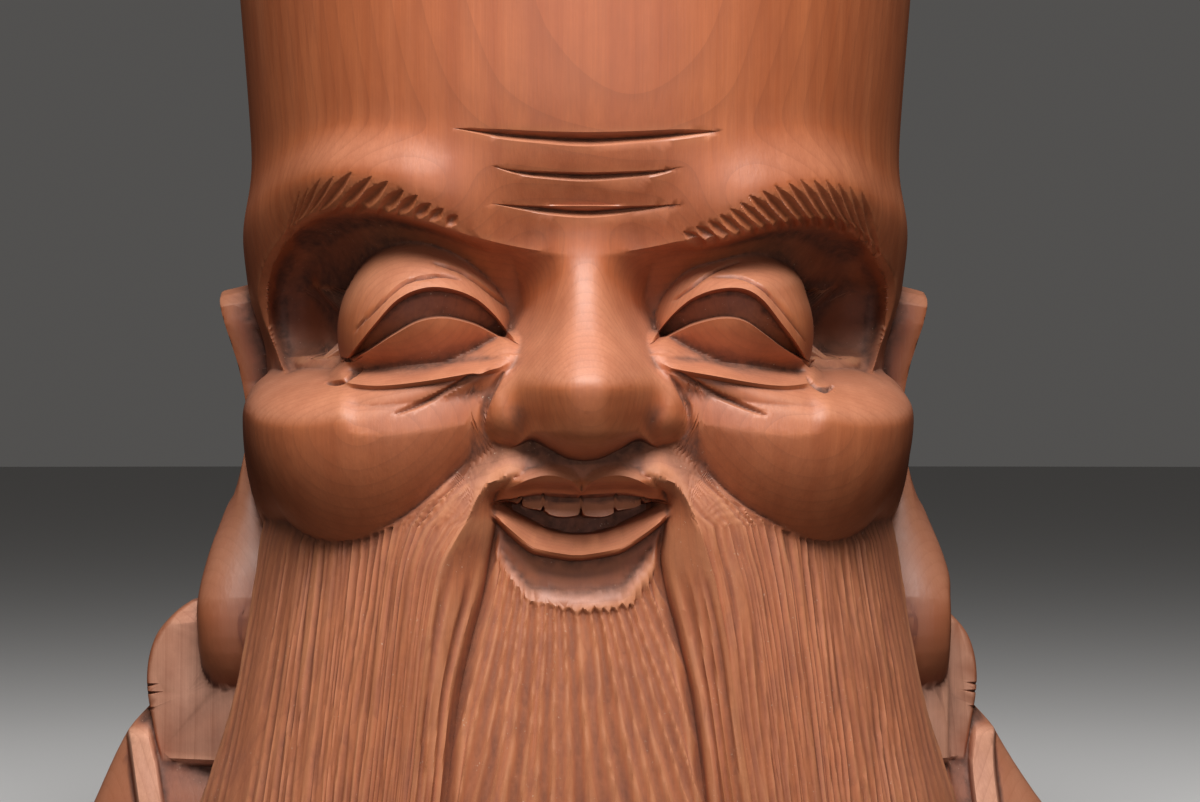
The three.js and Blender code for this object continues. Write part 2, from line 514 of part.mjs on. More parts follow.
function solid() {
  const spots = [];
  const rings = [];
  const half = FRONT_PLACES.length + SIDE_ANGLES.length;
  const rowCount = LOW_ROWS.length + FACE_ROWS.length + HIGH_ROWS.length;
  for (let row = 0; row < rowCount; row += 1) {
    const coarse = row >= LOW_ROWS.length + FACE_ROWS.length;
    const ring = [];
    for (let k = 0; k <= half; k += coarse ? 2 : 1) {
      let z = [...LOW_ROWS, ...FACE_ROWS, ...HIGH_ROWS][row];
      let angle = k === half ? Math.PI : columnAngle(k, z);
      for (let turn = 0; turn < 3 && z > 22 && z < 64; turn += 1) {
        z = rowHeights(angle, broad(angle, z).r * Math.sin(angle))[row];
        if (k < half) angle = columnAngle(k, z);
      }
      ring.push(carved(angle, z));
    }
    const mirrored = ring.slice(1, -1).reverse().map(([x, y, z]) => [-x, y, z]);
    rings.push([...ring, ...mirrored].map((spot) => spots.push(uneven(spot)) - 1));
  }
  const faces = [];
  const gap = (i, j) => Math.hypot(...[0, 1, 2].map((n) => spots[i][n] - spots[j][n]));
  for (let row = 0; row < rings.length - 1; row += 1) {
    const low = rings[row];
    const high = rings[row + 1];
    const stride = low.length / high.length;
    for (let k = 0; k < high.length; k += 1) {
      const c = high[k];
      const d = high[(k + 1) % high.length];
      const a = low[k * stride];
      const b = low[((k + 1) * stride) % low.length];
      if (stride === 2) {
        const m = low[k * stride + 1];
        faces.push([a, m, c], [m, d, c], [m, b, d]);
      } else if (gap(a, d) < gap(b, c)) {
        faces.push([a, b, d], [a, d, c]);
      } else {
        faces.push([a, b, c], [b, d, c]);
      }
    }
  }
  const crown = spots.push([0, 0, CROWN]) - 1;
  const foot = spots.push([0, 0, 0]) - 1;
  const top = rings[rings.length - 1];
  top.forEach((spot, k) => faces.push([spot, top[(k + 1) % top.length], crown]));
  rings[0].forEach((spot, k) => faces.push([rings[0][(k + 1) % rings[0].length], spot, foot]));
  const geometry = new THREE.BufferGeometry();
  geometry.setAttribute("position", new THREE.Float32BufferAttribute(spots.flat(), 3));
  geometry.setIndex(faces.flat());
  geometry.computeBoundingBox();
  const { min, max } = geometry.boundingBox;
  geometry.translate(-(min.x + max.x) / 2, -(min.y + max.y) / 2, 0);
  geometry.scale(BUST_WIDTH / (max.x - min.x), BUST_DEPTH / (max.y - min.y), BUST_HEIGHT / CROWN);
  geometry.computeVertexNormals();
  return geometry;
}

const bust = new THREE.Mesh(solid(), new THREE.MeshStandardMaterial(WOOD));
bust.name = "shou_lao_bust";
const part = new THREE.Group();
part.add(bust);
export default part;
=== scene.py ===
"""A carved wooden bust of an old sage: the solid's own forms at full fineness, with the carver's
small cuts, the grain of the wood, the dirt of years with painted shade in its hollows, and painted
sheen on its upper faces, set under soft studio light.

The wood is a relief on an upright post. Every broad form says how far the surface lies from the
axis at an angle and a height, and the finer cuts are laid on that surface. Lengths in the shape
functions are hundredths of the figure's height, x to the right, -y toward the viewer, z up.
"""
import math

import bpy
import numpy as np
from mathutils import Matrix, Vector, kdtree


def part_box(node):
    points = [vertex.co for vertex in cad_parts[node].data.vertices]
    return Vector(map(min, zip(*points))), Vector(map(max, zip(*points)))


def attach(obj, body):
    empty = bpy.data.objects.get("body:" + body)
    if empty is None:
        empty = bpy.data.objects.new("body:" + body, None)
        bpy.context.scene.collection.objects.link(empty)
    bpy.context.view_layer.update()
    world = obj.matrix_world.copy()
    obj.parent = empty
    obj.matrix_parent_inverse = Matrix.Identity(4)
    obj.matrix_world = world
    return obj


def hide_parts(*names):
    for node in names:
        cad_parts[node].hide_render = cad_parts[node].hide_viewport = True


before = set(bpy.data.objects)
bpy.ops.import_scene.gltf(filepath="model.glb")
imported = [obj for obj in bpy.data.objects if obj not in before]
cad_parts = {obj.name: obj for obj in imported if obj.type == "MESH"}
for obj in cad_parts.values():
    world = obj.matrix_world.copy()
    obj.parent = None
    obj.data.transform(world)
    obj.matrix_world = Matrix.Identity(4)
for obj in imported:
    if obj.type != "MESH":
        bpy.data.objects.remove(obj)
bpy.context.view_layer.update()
NODE = "shou_lao_bust"

CROWN = 100
DOME_START = 79
SECTION_POWER = 2.12
DOME_POWER = 2.15
BROW_OVERHANG = 3.8
BROW_SWELL = 2.3
BROW_CREST = 2.2
SOCKET_DROP = 2.2
SOCKET_HOLLOW = 3
SOCKET_SOFTENING = 40
GLABELLA_DIP = 1.8
BEARD_WALL = 7
BEARD_EDGE_DEGREES = 72.2
COLLAR_TOP = 23.8
COLLAR_FOOT = 9.7
LAPEL_WIDTH = 2.2
LAPEL_RAISE = 1.3
NOSE_POWER = 2.6
# Heights above which there is no beard, robe, collar or socket; height and angle that end the brow
BEARD_REACH = 44
ROBE_REACH = 34
COLLAR_REACH = 31
FOREHEAD = 60
BROW_REACH = 66
BROW_BACK = math.radians(98)

# The finished mesh: its triangles, the bend that stays a sharp edge, and how far the normals of
# the dense surface may lean from the mesh's own before the mesh's are kept, on skin and in hair
TRIANGLES = 192000
SHARP = math.radians(32)
NORMAL_TRUST = math.radians(16)
HAIR_TRUST = math.radians(26)

# Colours of the wood and of what lies on it; some of them are painted shade and painted sheen
DEEP_STREAK = (0.4, 0.1, 0.031, 1)
PALE_STREAK = (0.53, 0.15, 0.047, 1)
RED_PATCH = (0.42, 0.098, 0.036, 1)
# Painted shade: the sides and back darkened low down
PAINTED_SHADE_LOW_BACK = (0.22, 0.048, 0.017, 1)
HAIR_WOOD = (0.45, 0.135, 0.046, 1)
HAIR_STAIN = (0.25, 0.062, 0.026, 1)
FRESH_CUT = (0.72, 0.36, 0.24, 1)
# Upward faces paler: partly settled dust, partly painted sheen of the light above
UPWARD_DUST_AND_SHEEN = (0.55, 0.28, 0.18, 1)
LATE_WOOD = (0.2, 0.05, 0.018, 1)
DARK_FIBRE = (0.2, 0.055, 0.022, 1)
WORN_EDGE = (0.66, 0.28, 0.12, 1)
DARK_MOTTLE = (0.3, 0.078, 0.03, 1)
# Near black laid in cuts and hollows: partly dirt, partly painted shade
SOIL_AND_PAINTED_SHADE = (0.035, 0.013, 0.008, 1)
DUST = (0.66, 0.5, 0.36, 1)
WOOD_SPECULAR = 0.7
# The tree's pith: how far off the bust's middle and how it leans, and its rings
PITH = (-0.001, -0.035, 0)
PITH_LEAN = (math.radians(2.5), math.radians(1.5), 0)
RINGS_A_METRE = 1250

# The studio, its lengths in metres: floor, sky and lights, each with name, place, size and power
FLOOR_COLOUR = (0.62, 0.61, 0.6, 1)
FLOOR_ROUGHNESS = 0.7
FLOOR_REACH = 4
SKY_COLOUR = (0.6, 0.58, 0.56, 1)
SKY_STRENGTH = 0.14
LIGHTS = [("key", (0, -0.3, 0.43), (0.3, 0.2), 3.1), ("top", (0, -0.1, 0.5), (0.3, 0.3), 0.9),
          ("fill", (0, -0.62, 0.06), (0.8, 0.08), 0.75)]
# How high the lights point, in hundredths of the figure's height
LIT_HEIGHT = 45
# The photograph's view: lens and sensor in millimetres, distance in metres, and turn
LENS = 150
SENSOR = 36
CAMERA_DISTANCE = 0.6
CAMERA_TURN = math.radians(-2)
# In hundredths of the figure's height: the place the camera aims at, counted from the post's axis,
# and how far that axis lies in front of the solid's back
AIM = (1.22, -25.33, 40.33)
AXIS_FROM_BACK = 29.5

# Rounded forms of the face: centre, half sizes, tilt in the frontal plane and half-height below
CHEEK_LEVEL = 38
CHEEK_REACH = 26.5
EYE_MOUND = ((12.5, -15.3, 45.8), (7.5, 10, 8), -0.14)
LID_ROLL = ((12.2, -14.8, 41.6), (9.4, 10.6, 4), -0.1)
CHEEK = ((12.6, -12.7, CHEEK_LEVEL), (14.9, 14.7, 5.4), 0, 13)
JOWL = ((23.5, -6, 37.2), (4.6, 11, 4.4), 0, 11.2)
# The nose's wing: middle, half sizes across, up and down, how far its rim stands, its rise
NOSE_WING = ((5.9, 39.3), (3.3, 4.4, 3.4), 21.5, 6)
# The collar's flat front end: a place on it, the way it faces, where its top falls back and how far
COLLAR_END = (29, -7)
COLLAR_FACING = (4.5, -7.4)
COLLAR_FALLS = 21.6
COLLAR_FALL = 16

# Profiles, each a list of (height, size) unless it says otherwise
HEAD_WIDTH = [(0, 24.5), (20, 24.5), (34, 25.6), (44, 26.3), (53, 26.95), (66, 27.85), (79, 28.9)]
HEAD_FRONT = [(0, 24), (30, 25.2), (44, 25.5), (52, 25.5), (56, 26.1), (60, 26.9), (66, 27.5), (79, 27.4)]
HEAD_BACK = [(0, 20), (22, 20.5), (34, 22.5), (50, 25.4), (66, 27), (79, 27.4)]
BEARD_WIDTH = [(0, 35.6), (7, 34), (12, 32.4), (20, 30.4), (29, 28.4), (36, 26.5)]
BEARD_FRONT = [(0, 30.8), (10, 30.2), (20, 29), (27, 27.8), (33, 26.9), (37, 25.9), (40, 24), (44, 20)]
BEARD_EDGE = [
    (0, 33.5), (6.7, 32), (10.6, 30.7), (15.7, 29.1), (20.3, 28.2), (25.4, 27.45), (28.8, 27), (33, 26)
]
ROBE_WIDTH = [(0, 43.8), (5.9, 41.1), (12.25, 38.1), (14.7, 36), (20, 31), (25, 26), (34, 23)]
ROBE_FRONT = [(0, 9), (6, 8), (11, 6), (20, 4.5), (34, 4.5)]
ROBE_BACK = [(0, 29.5), (6, 28.8), (13, 27.4), (20, 25), (27, 22), (34, 18)]
COLLAR_WIDTH = [(8, 34.8), (13, 35.9), (17, 36.4), (20.3, 35.7), (22.4, 34), (23.8, 32)]
COLLAR_DEPTH = [(8, 25.5), (13, 26), (20, 26.2), (24, 25), (27, 23)]
LAPEL_EDGE = [(0, 33.6), (5.9, 34.7), (12.2, 35.8), (15, 36.4)]
EAR_OUT = [
    (11.5, 28.6), (13, 29.7), (15.5, 31), (17.6, 31.5), (20, 31.8), (23.4, 31.9), (27.2, 31.1),
    (30.8, 29.85), (34.6, 28.5), (38, 27.9), (42.7, 28.6), (48.4, 30.3), (50.5, 30.2)
]
EAR_FRONT = [(12.6, -4), (15, -6.2), (19, -8), (24, -8), (30, -5.6), (36, -2), (42, -0.2), (48.8, 0.5)]
EAR_BACK = [
    (12.2, -2), (15, -0.4), (18, 1.5), (24, 4.4), (31, 7.4), (38, 10.6), (44, 12.2), (48.9, 10.8),
    (50.6, 5.5)
]
# The nose: how far its ridge stands forward, how steeply its sides fall, how blunt the ridge is
NOSE_RIDGE = [
    (34, 30.6), (36, 31.6), (38, 32.5), (40, 33.3), (41.5, 33.5), (43, 32.3), (46, 28.9), (49, 26.6),
    (51.5, 25.4), (54, 24.8)
]
NOSE_SLOPE = [(38, 2.1), (40, 2), (43, 2.1), (46, 2.6), (48, 2.8), (50, 2.5), (52, 1.2)]
NOSE_BLUNT = [(38, 3.2), (40, 3.1), (42, 3), (45, 2.8), (50, 2.6), (53, 2.6)]
# (distance from the middle, height) across one half of the face
NOSE_FOOT = [
    (0, 35.35), (1.3, 35.55), (2.8, 36.3), (3.9, 36.95), (4.6, 37), (5.5, 36.6), (6.4, 36.5), (7.5, 36.9),
    (8.4, 38.2), (9, 40)
]
BROW_ARCH = [
    (0, 51.9), (4, 52.4), (8.2, 53.3), (12.8, 54.9), (17.4, 55.9), (21, 55.5), (23.8, 53.8), (25.6, 51),
    (25.9, 47.3), (24.9, 43.6), (23.6, 41.2), (21.5, 38)
]
CHEEK_RIDGE = [
    (0, 44), (6.4, 42.5), (9.2, 41.2), (12.4, 39.45), (15.6, 38.4), (18.8, 37.9), (22, 38.3), (24.2, 39.2),
    (28, 40.2)
]
LID_RIM = [
    (5, 44.7), (5.7, 45.4), (7.25, 47.3), (8.85, 48.6), (11.1, 49.35), (13.1, 49.3), (15.1, 48.35),
    (17, 46.3), (19.2, 43.7), (19.8, 43.3)
]
BALL_TOP = [
    (5, 44.4), (5.95, 45), (7.45, 45.75), (9.05, 46.45), (11.3, 46.9), (13.3, 46.6), (15.4, 45.5),
    (17.2, 44.4), (19.2, 43.4), (19.8, 43.1)
]
LOWER_LID = [(5, 44.1), (6.4, 43.87), (10, 43.54), (14.1, 43.15), (18.2, 42.7), (19.8, 42.6)]
EYE_FOLD = [
    (5, 43.7), (6.4, 43.2), (7, 42.9), (10, 42.33), (13.25, 41.8), (16.55, 41.5), (18.9, 41.7), (19.8, 42)
]
LIP_TOP = [(0, 33.1), (1, 33.95), (2.75, 34.35), (4.35, 34), (5.55, 33.4), (6.8, 33.1), (7.4, 32.7)]
LIP_LOW = [(0, 32.71), (2.7, 32.87), (3.66, 32.87), (5.5, 32.5), (6.4, 32.4), (7.4, 32.1)]
TEETH = [
    (0, 31.33), (0.4, 31.1), (1.6, 31), (2.5, 31.2), (2.8, 31.45), (4.4, 31.75), (4.9, 32), (6, 32.25),
    (7.4, 32)
]
GAPE = [(0, 29.5), (0.5, 29.5), (2.4, 29.85), (4.8, 31), (6.4, 31.85), (7.4, 31.9)]
LIP_SOLE = [(0, 27.75), (0.5, 27.75), (2.7, 28.1), (3.7, 28.4), (5.15, 29.4), (6.8, 30.8), (7.4, 31.3)]
CHEEK_FOOT = [
    (8, 33.3), (10.8, 32.9), (13.6, 31), (16.9, 29.55), (20.2, 28.95), (23.2, 29.3), (25.85, 30.7),
    (27.3, 32.9), (28, 34)
]
# (height, distance from the middle) of the moustache's crest and of the chin tuft's edge
MOUSTACHE_CREST = [
    (0, 14.6), (5, 14), (12, 13), (20.2, 12), (24.3, 11.35), (26.4, 10.9), (28.4, 10.2), (31.2, 8.95),
    (32.4, 8.4), (33.2, 7.9), (33.8, 7.2), (34.4, 6)
]
TUFT_EDGE = [
    (0, 11.2), (8.6, 10.3), (16.6, 9.25), (21.3, 8.2), (24.5, 7.35), (27.7, 6.8), (30.05, 6.8), (32, 7),
    (33.2, 6.6), (34, 5.6), (34.6, 4.6)
]
CREST_RISE = [
    (0, 0.1), (8, 0.35), (15, 0.7), (22, 1.1), (29, 1.5), (32.5, 1.2), (34, 0.8), (35.5, 0.3), (37, 0)
]
TUFT_SINK = [(0, 0.2), (8, 0.7), (16, 1.3), (24, 1.9), (30, 2), (32.2, 1.8), (33.2, 1.4), (34, 0.2), (37, 0)]

# Cuts of the knife, as (x, height) lines seen from the front
WRINKLES = [
    ([(-3.8, 61.82), (0, 61.73), (3.8, 61.82), (6.8, 61.98), (9.4, 62.1), (10.7, 62.1)],
     [(-3.8, 60.86), (0, 60.6), (3.8, 60.86), (6.8, 61.2), (9.4, 61.78), (10.7, 62.08)]),
    ([(-3, 58.64), (0, 58.56), (3, 58.64), (5.5, 58.76), (7.4, 58.98)],
     [(-3, 58.02), (0, 57.84), (3, 58.02), (5.5, 58.35), (7.4, 58.95)]),
    ([(-3.8, 55.93), (0, 55.9), (3.8, 55.93), (7.6, 56.08)],
     [(-3.8, 55.32), (0, 54.95), (3.8, 55.32), (7.6, 56.05)]),
]
WRINKLE_MIDDLE = 0.2
WRINKLE_BEND = 0.68
# Brow tufts: where the hollows between the hairs begin above and end below, on either side
BROW_LEFT = (
    [(-10.2, 55.2), (-12.1, 56.1), (-14.1, 57.1), (-16.3, 58.2), (-19.2, 58.7), (-21.5, 58.2), (-23, 57.4)],
    [(-10.9, 54.5), (-13.3, 55.1), (-15.7, 55.65), (-18.7, 56.1), (-21.3, 56.2), (-23.2, 55.1),
     (-24.3, 53.6)],
)
BROW_RIGHT = (
    [(7.9, 53.9), (10.8, 55.2), (13.2, 56.75), (16.4, 57.9), (19.6, 58.25), (22.9, 57.5)],
    [(9.2, 53.1), (12.3, 54.05), (15.5, 54.85), (18.7, 55.3), (21.7, 55.05), (24.3, 53.55)],
)
# How each is cut: number of cuts, their width, how far chance moves them, how far they close below
BROWS = [(BROW_LEFT, 12, 0.46, 0.35, 0.8), (BROW_RIGHT, 16, 0.5, 0.2, 0.3)]
# Creases of lids, cheeks and nose wings: line, half-width, depth
CREASES = [
    ([(-18.7, 45.8), (-17.6, 46.9), (-16.4, 48.1), (-15.2, 49.2), (-14, 49.95), (-11.5, 50.35), (-9.9, 50)],
     0.2, 0.3),
    ([(-12.3, 51.5), (-10.1, 50.8), (-9.2, 50.25), (-8.4, 49.7), (-6.1, 47.9)], 0.2, 0.3),
    ([(-15.3, 39.2), (-12.4, 40.4), (-10, 41.7), (-7.6, 42.95)], 0.34, 0.34),
    ([(-19.8, 43.85), (-19.2, 43.6), (-18.6, 43.6), (-17.9, 43.9)], 0.18, 0.3),
    ([(-17.8, 42.95), (-18.9, 42.2), (-19.7, 41.75), (-20.9, 41.75)], 0.24, 0.4),
    ([(10.3, 50.3), (12.4, 50.3), (13.8, 49.75), (15, 48.8), (16.6, 47), (18.4, 44.9)], 0.2, 0.3),
    ([(7.2, 48.3), (8.6, 49.35), (9.8, 50.3), (11.2, 51.05), (12.9, 51.65)], 0.18, 0.28),
    ([(6.9, 42.8), (9.2, 41.5), (10.8, 40.65), (14.6, 39.1)], 0.34, 0.34),
    ([(18, 43.6), (18.6, 43.2), (19, 43.25), (19.5, 43.7)], 0.18, 0.3),
    ([(18.2, 42.3), (18.9, 41.4), (19.7, 41.15), (20.5, 41.5)], 0.24, 0.4),
    ([(-6.5, 42.6), (-7.3, 41.3), (-8, 39.8), (-8.2, 38.4), (-7.8, 37.3)], 0.34, 0.32),
    ([(6.9, 42.2), (7.7, 41), (8.3, 39.6), (8.3, 38.2), (7.8, 37.2)], 0.34, 0.32),
]
TEETH_GAPS = [-4.85, -3.06, 0.02, 2.82, 5]
# Ridges between the flutes of the chin tuft, at the height where the hair begins
RIDGES = [
    -10.2, -9.2, -8.3, -7.5, -6.8, -6, -5.25, -4.7, -3.8, -3.25, -2.5, -1.7, -0.8, 0.25, 1.1, 1.75, 2.5,
    3.3, 4.05, 4.85, 5.75, 6.6, 7.5, 8.5
]
HAIR_START = [
    (-7, 29), (-6.5, 27.6), (-5.6, 25.6), (-4.9, 25.1), (-3.5, 24.5), (-2.2, 23.9), (-1, 23.5), (0.1, 23.5),
    (1.5, 23.6), (2.5, 23.8), (3.7, 24), (4.6, 25), (5.6, 26.2), (6.6, 28), (7, 29)
]
RIDGE_HEIGHT = 23.7


def clamp(t):
    return np.clip(t, 0.0, 1.0)


def ease(t):
    t = clamp(t)
    return t * t * (3 - 2 * t)


def hump(distance, width):
    return np.exp(-(distance / width) ** 2)


def joined(a, b, k):
    """The larger of two, with the seam rounded over a width of k."""
    h = clamp(0.5 + 0.5 * (a - b) / k)
    return b + (a - b) * h + k * h * (1 - h)


def through(points, x):
    """Smooth curve through (place, value) points, level beyond its ends."""
    place, value = np.array(points, float).T
    rise = np.empty(len(place))
    rise[0] = (value[1] - value[0]) / (place[1] - place[0])
    rise[-1] = (value[-1] - value[-2]) / (place[-1] - place[-2])
    rise[1:-1] = (value[2:] - value[:-2]) / (place[2:] - place[:-2])
    i = np.clip(np.searchsorted(place, x) - 1, 0, len(place) - 2)
    width = place[i + 1] - place[i]
    t = clamp((x - place[i]) / width)
    t2, t3 = t * t, t * t * t
    return ((2 * t3 - 3 * t2 + 1) * value[i] + (t3 - 2 * t2 + t) * width * rise[i]
            + (3 * t2 - 2 * t3) * value[i + 1] + (t3 - t2) * width * rise[i + 1])


def chain(points, parts=6):
    """Catmull-Rom curve through points as a chain of short straights."""
    p = np.array(points, float)
    q = np.vstack([2 * p[0] - p[1], p, 2 * p[-1] - p[-2]])
    t = (np.arange(parts) / parts)[:, None]
    line = []
    for a, b, c, d in zip(q[:-3], q[1:-2], q[2:-1], q[3:]):
        line.append(0.5 * (2 * b + (c - a) * t + (2 * a - 5 * b + 4 * c - d) * t * t
                           + (3 * b - a - 3 * c + d) * t ** 3))
    return np.vstack([*line, p[-1:]])


def beside(line, x, z):
    """Signed distance from a chain, positive on the left of its run, and the share of the way along."""
    run = np.diff(line, axis=0)
    length = np.hypot(run[:, 0], run[:, 1])
    start = np.concatenate([[0], np.cumsum(length)])
    best = np.full(x.shape, np.inf)
    side = np.ones(x.shape)
    along = np.zeros(x.shape)
    for i, (sx, sz) in enumerate(run):
        dx, dz = x - line[i, 0], z - line[i, 1]
        t = clamp((dx * sx + dz * sz) / length[i] ** 2)
        d = (dx - t * sx) ** 2 + (dz - t * sz) ** 2
        near = d < best
        best = np.where(near, d, best)
        side = np.where(near, np.where(sx * dz - sz * dx < 0, -1, 1), side)
        along = np.where(near, (start[i] + t * length[i]) / start[-1], along)
    return np.sqrt(best) * side, along


def oval(angle, a, b, power):
    """Radius of a rounded box with half sizes a and b; the power squares it off."""
    s, c = np.abs(np.sin(angle)) / a, np.abs(np.cos(angle)) / b
    return (s ** power + c ** power) ** (-1 / power)


def ball(angle, z, centre, half, tilt=0.0, droop=None):
    """Where the ray at this angle and height leaves an ellipsoid; droop is its half-height below."""
    tall = np.where(z < centre[2], droop or half[2], half[2])
    dz = z - centre[2]
    dx = np.sin(angle)
    ct, st = math.cos(tilt), math.sin(tilt)
    u = (ct * dx / half[0], -np.cos(angle) / half[1], -st * dx / tall)
    v = ((st * dz - ct * centre[0]) / half[0], -centre[1] / half[1], (st * centre[0] + ct * dz) / tall)
    a = u[0] * u[0] + u[1] * u[1] + u[2] * u[2]
    b = u[0] * v[0] + u[1] * v[1] + u[2] * v[2]
    c = v[0] * v[0] + v[1] * v[1] + v[2] * v[2] - 1
    reach = b * b - a * c
    return (np.sign(reach) * np.sqrt(np.abs(reach)) - b) / a


def head(angle, z):
    """The tall bald head without its face, closed by a dome."""
    level = np.minimum(z, DOME_START)
    deep = np.where(np.cos(angle) > 0, through(HEAD_FRONT, level), through(HEAD_BACK, level))
    top = clamp((z - DOME_START) / (CROWN - DOME_START))
    section = oval(angle, through(HEAD_WIDTH, level), deep, SECTION_POWER)
    return section * (1 - top ** DOME_POWER) ** (1 / DOME_POWER)


def browed(angle, z):
    """The head with the sockets cut back under the overhanging brow."""
    bare = head(angle, z)
    across = bare * np.sin(angle)
    above, _ = beside(chain(BROW_ARCH), across, z)
    above = np.where(z > FOREHEAD, np.maximum(1, above), above)
    swell = BROW_SWELL * (1 - 0.45 * ease((across - 18) / 7)) * ease((across - 5) / 9) * ease((z - 44) / 6)
    bevel = 1 - 0.3 * (1 - clamp(above / BROW_CREST)) ** 2
    brow = swell * bevel * hump(np.maximum(above - BROW_CREST, 0), 3.2) * ease(1 + above * 0.9)
    most = BROW_OVERHANG + SOCKET_DROP * ease((54 - z) / 8)
    rate = 2.2 + ease((across - 19) / 4)
    cut = most * (1 - np.exp(rate * np.minimum(above, 0) / most)) * np.minimum(0.03 + 0.16 * across, 1)
    return np.where((angle > BROW_BACK) | (z > BROW_REACH), bare, bare + brow - cut)


def features(angle, z, ground):
    """Eye mounds and cheeks laid on the head."""
    mound = ball(angle, z, *EYE_MOUND)
    lid = ball(angle, z, *LID_ROLL)
    bent = z - through(CHEEK_RIDGE, CHEEK_REACH * np.sin(angle)) + CHEEK_LEVEL
    cheek = ball(angle, bent, *CHEEK)
    jowl = ball(angle, bent, *JOWL)
    eyes = joined(joined(ground, mound, 0.9), lid, 0.8)
    return joined(eyes, joined(cheek, jowl, 1.6), 0.7)


def boss(across, z, place, half, base, rise):
    """A rounded boss: half is its half sizes across, up and down, base where its rim stands."""
    tall = np.where(z > place[1], half[1], half[2])
    out = np.hypot((across - place[0]) / half[0], (z - place[1]) / tall)
    return base + rise * np.where(out < 1, np.sqrt(clamp(1 - out * out)), 2 * (1 - out))


def nose(across, z):
    """How far forward the nose stands."""
    blunt = through(NOSE_BLUNT, z)
    wide = (across ** NOSE_POWER + blunt ** NOSE_POWER) ** (1 / NOSE_POWER)
    flank = through(NOSE_RIDGE, z) - through(NOSE_SLOPE, z) * (wide - blunt)
    wing = boss(across, z, *NOSE_WING)
    rise = 1 - clamp((z - through(NOSE_FOOT, across)) / 4.4)
    under = 24 + 9.8 * np.sqrt(1 - rise * rise)
    whole = -joined(-joined(flank, wing, 1.6), -under, 0.8)
    return np.where((z > 34) & (z < 56) & (across < 10), whole, 0)


def eared(angle, z, ground):
    """Long ears: a hollowed upper shell and a thick hanging lobe."""
    outline = chain([(y, h) for h, y in [*EAR_FRONT, *EAR_BACK[::-1], EAR_FRONT[0]]], 3)
    zone = (angle > math.radians(55)) & (angle < math.radians(130)) & (z > 11.5) & (z < 51)
    g, h, turn = ground[zone], z[zone], angle[zone]
    inside = -beside(outline, -g * np.cos(turn), h)[0]
    out = through(EAR_OUT, h) / np.maximum(np.sin(turn), 0.5)
    shell = ease((h - 31) / 6)
    rounded = np.sqrt(1 - (1 - clamp(inside / 3.4)) ** 2)
    rise = rounded + (ease(inside / 0.9) - rounded) * shell
    hollow = 0.55 * ease((inside - 1.5) / 1.3) * shell
    result = ground.copy()
    result[zone] = np.where(inside > 0, np.maximum(g, g + (out - g) * rise * (1 - hollow)), g)
    return result


def beard(angle, z):
    """The beard as one mass, falling away in a wall at its outer edge."""
    level = np.minimum(z, BEARD_REACH)
    r = oval(angle, through(BEARD_WIDTH, level), through(BEARD_FRONT, level), 2.08)
    beyond = np.where(angle > math.pi / 2, 9, r * np.sin(angle) - through(BEARD_EDGE, level))
    return r - BEARD_WALL * ease(beyond / 0.9 + 0.5)


def robe(angle, z):
    """The robe over the shoulders, gone above the collar."""
    level = np.minimum(z, ROBE_REACH)
    deep = np.where(np.cos(angle) > 0, through(ROBE_FRONT, level), through(ROBE_BACK, level))
    return oval(angle, through(ROBE_WIDTH, level), deep, 2.3) - 40 * ease((z - 22) / 12)


def collar(angle, z):
    """Thick standing collar, and how far it is the flat cut of its front end."""
    level = clamp((z - 3) / 27) * 27 + 3
    nx, ny = COLLAR_FACING
    toward = np.sin(angle) * nx - np.cos(angle) * ny
    back = COLLAR_FALL * clamp((level - COLLAR_FALLS) / 2.2) ** 1.2
    stands = COLLAR_END[0] * nx + COLLAR_END[1] * ny - back
    facet = np.where(toward > 0.2, stands / np.maximum(toward, 0.2), 99)
    rounded = oval(angle, through(COLLAR_WIDTH, level), through(COLLAR_DEPTH, level), 2.2)
    r = -joined(-rounded, -facet, 0.25)
    nape = ease((angle - math.radians(95)) / math.radians(50))
    top, foot = COLLAR_TOP + 3.6 * nape, COLLAR_FOOT - 3 * nape
    ends = 5.5 * ease((level - top) / 0.8 + 0.5) + 4 * ease((foot - level) / 0.7 + 0.5)
    r = r - ends - 60 * ease((z - 27) / 4) - 60 * ease((7 - z) / 4)
    return r, ease((rounded - facet) / 0.4) * (ends < 1)


def socket(across, z):
    """Depth of the hollow at the socket's outer side, which drops straight back from its rim."""
    inside = np.minimum(beside(chain(BROW_ARCH), across, z)[0], 0)
    return SOCKET_HOLLOW * ease((across - 17) / 6) * (1 - np.exp(2 * inside)) * ease((z - 38) / 3)


def broad(angle, z):
    """Surface radius before the fine cuts, and how far it is hair, robe, flat collar cut and socket."""
    mass = np.where(z < BEARD_REACH, beard(angle, z), -1)
    ground = browed(angle, z)
    face = features(angle, z, ground)
    skin = eared(angle, z, face)
    hairy = np.where(z < BEARD_REACH, joined(skin, mass, 0.2), skin)
    cloth = np.where(z < ROBE_REACH, robe(angle, z), 0)
    standing, flat = collar(angle, z)
    standing = np.where(z < COLLAR_REACH, standing, 0)
    rest = np.maximum(hairy, standing)
    r = np.maximum(rest, cloth)
    hair = ease((mass - r + 0.5) / 0.5)
    robed = ease((cloth - rest) / 0.6)
    hollow = ease(1 - (face - ground) / 1.2) * ease(1 - (r - face) / 0.1)
    return r, hair, robed, flat * ease((standing - r + 0.1) / 0.1), hollow


def stepped(z, marks):
    """Straight-line value down a list of (height, depth) marks, nothing beyond its ends."""
    out = np.zeros(z.shape)
    for (high, at_high), (low, at_low) in zip(marks[:-1], marks[1:]):
        t = (z - low) / np.maximum(high - low, 1e-6)
        out = np.where((z <= high) & (z > low), at_low + (at_high - at_low) * t, out)
    return out


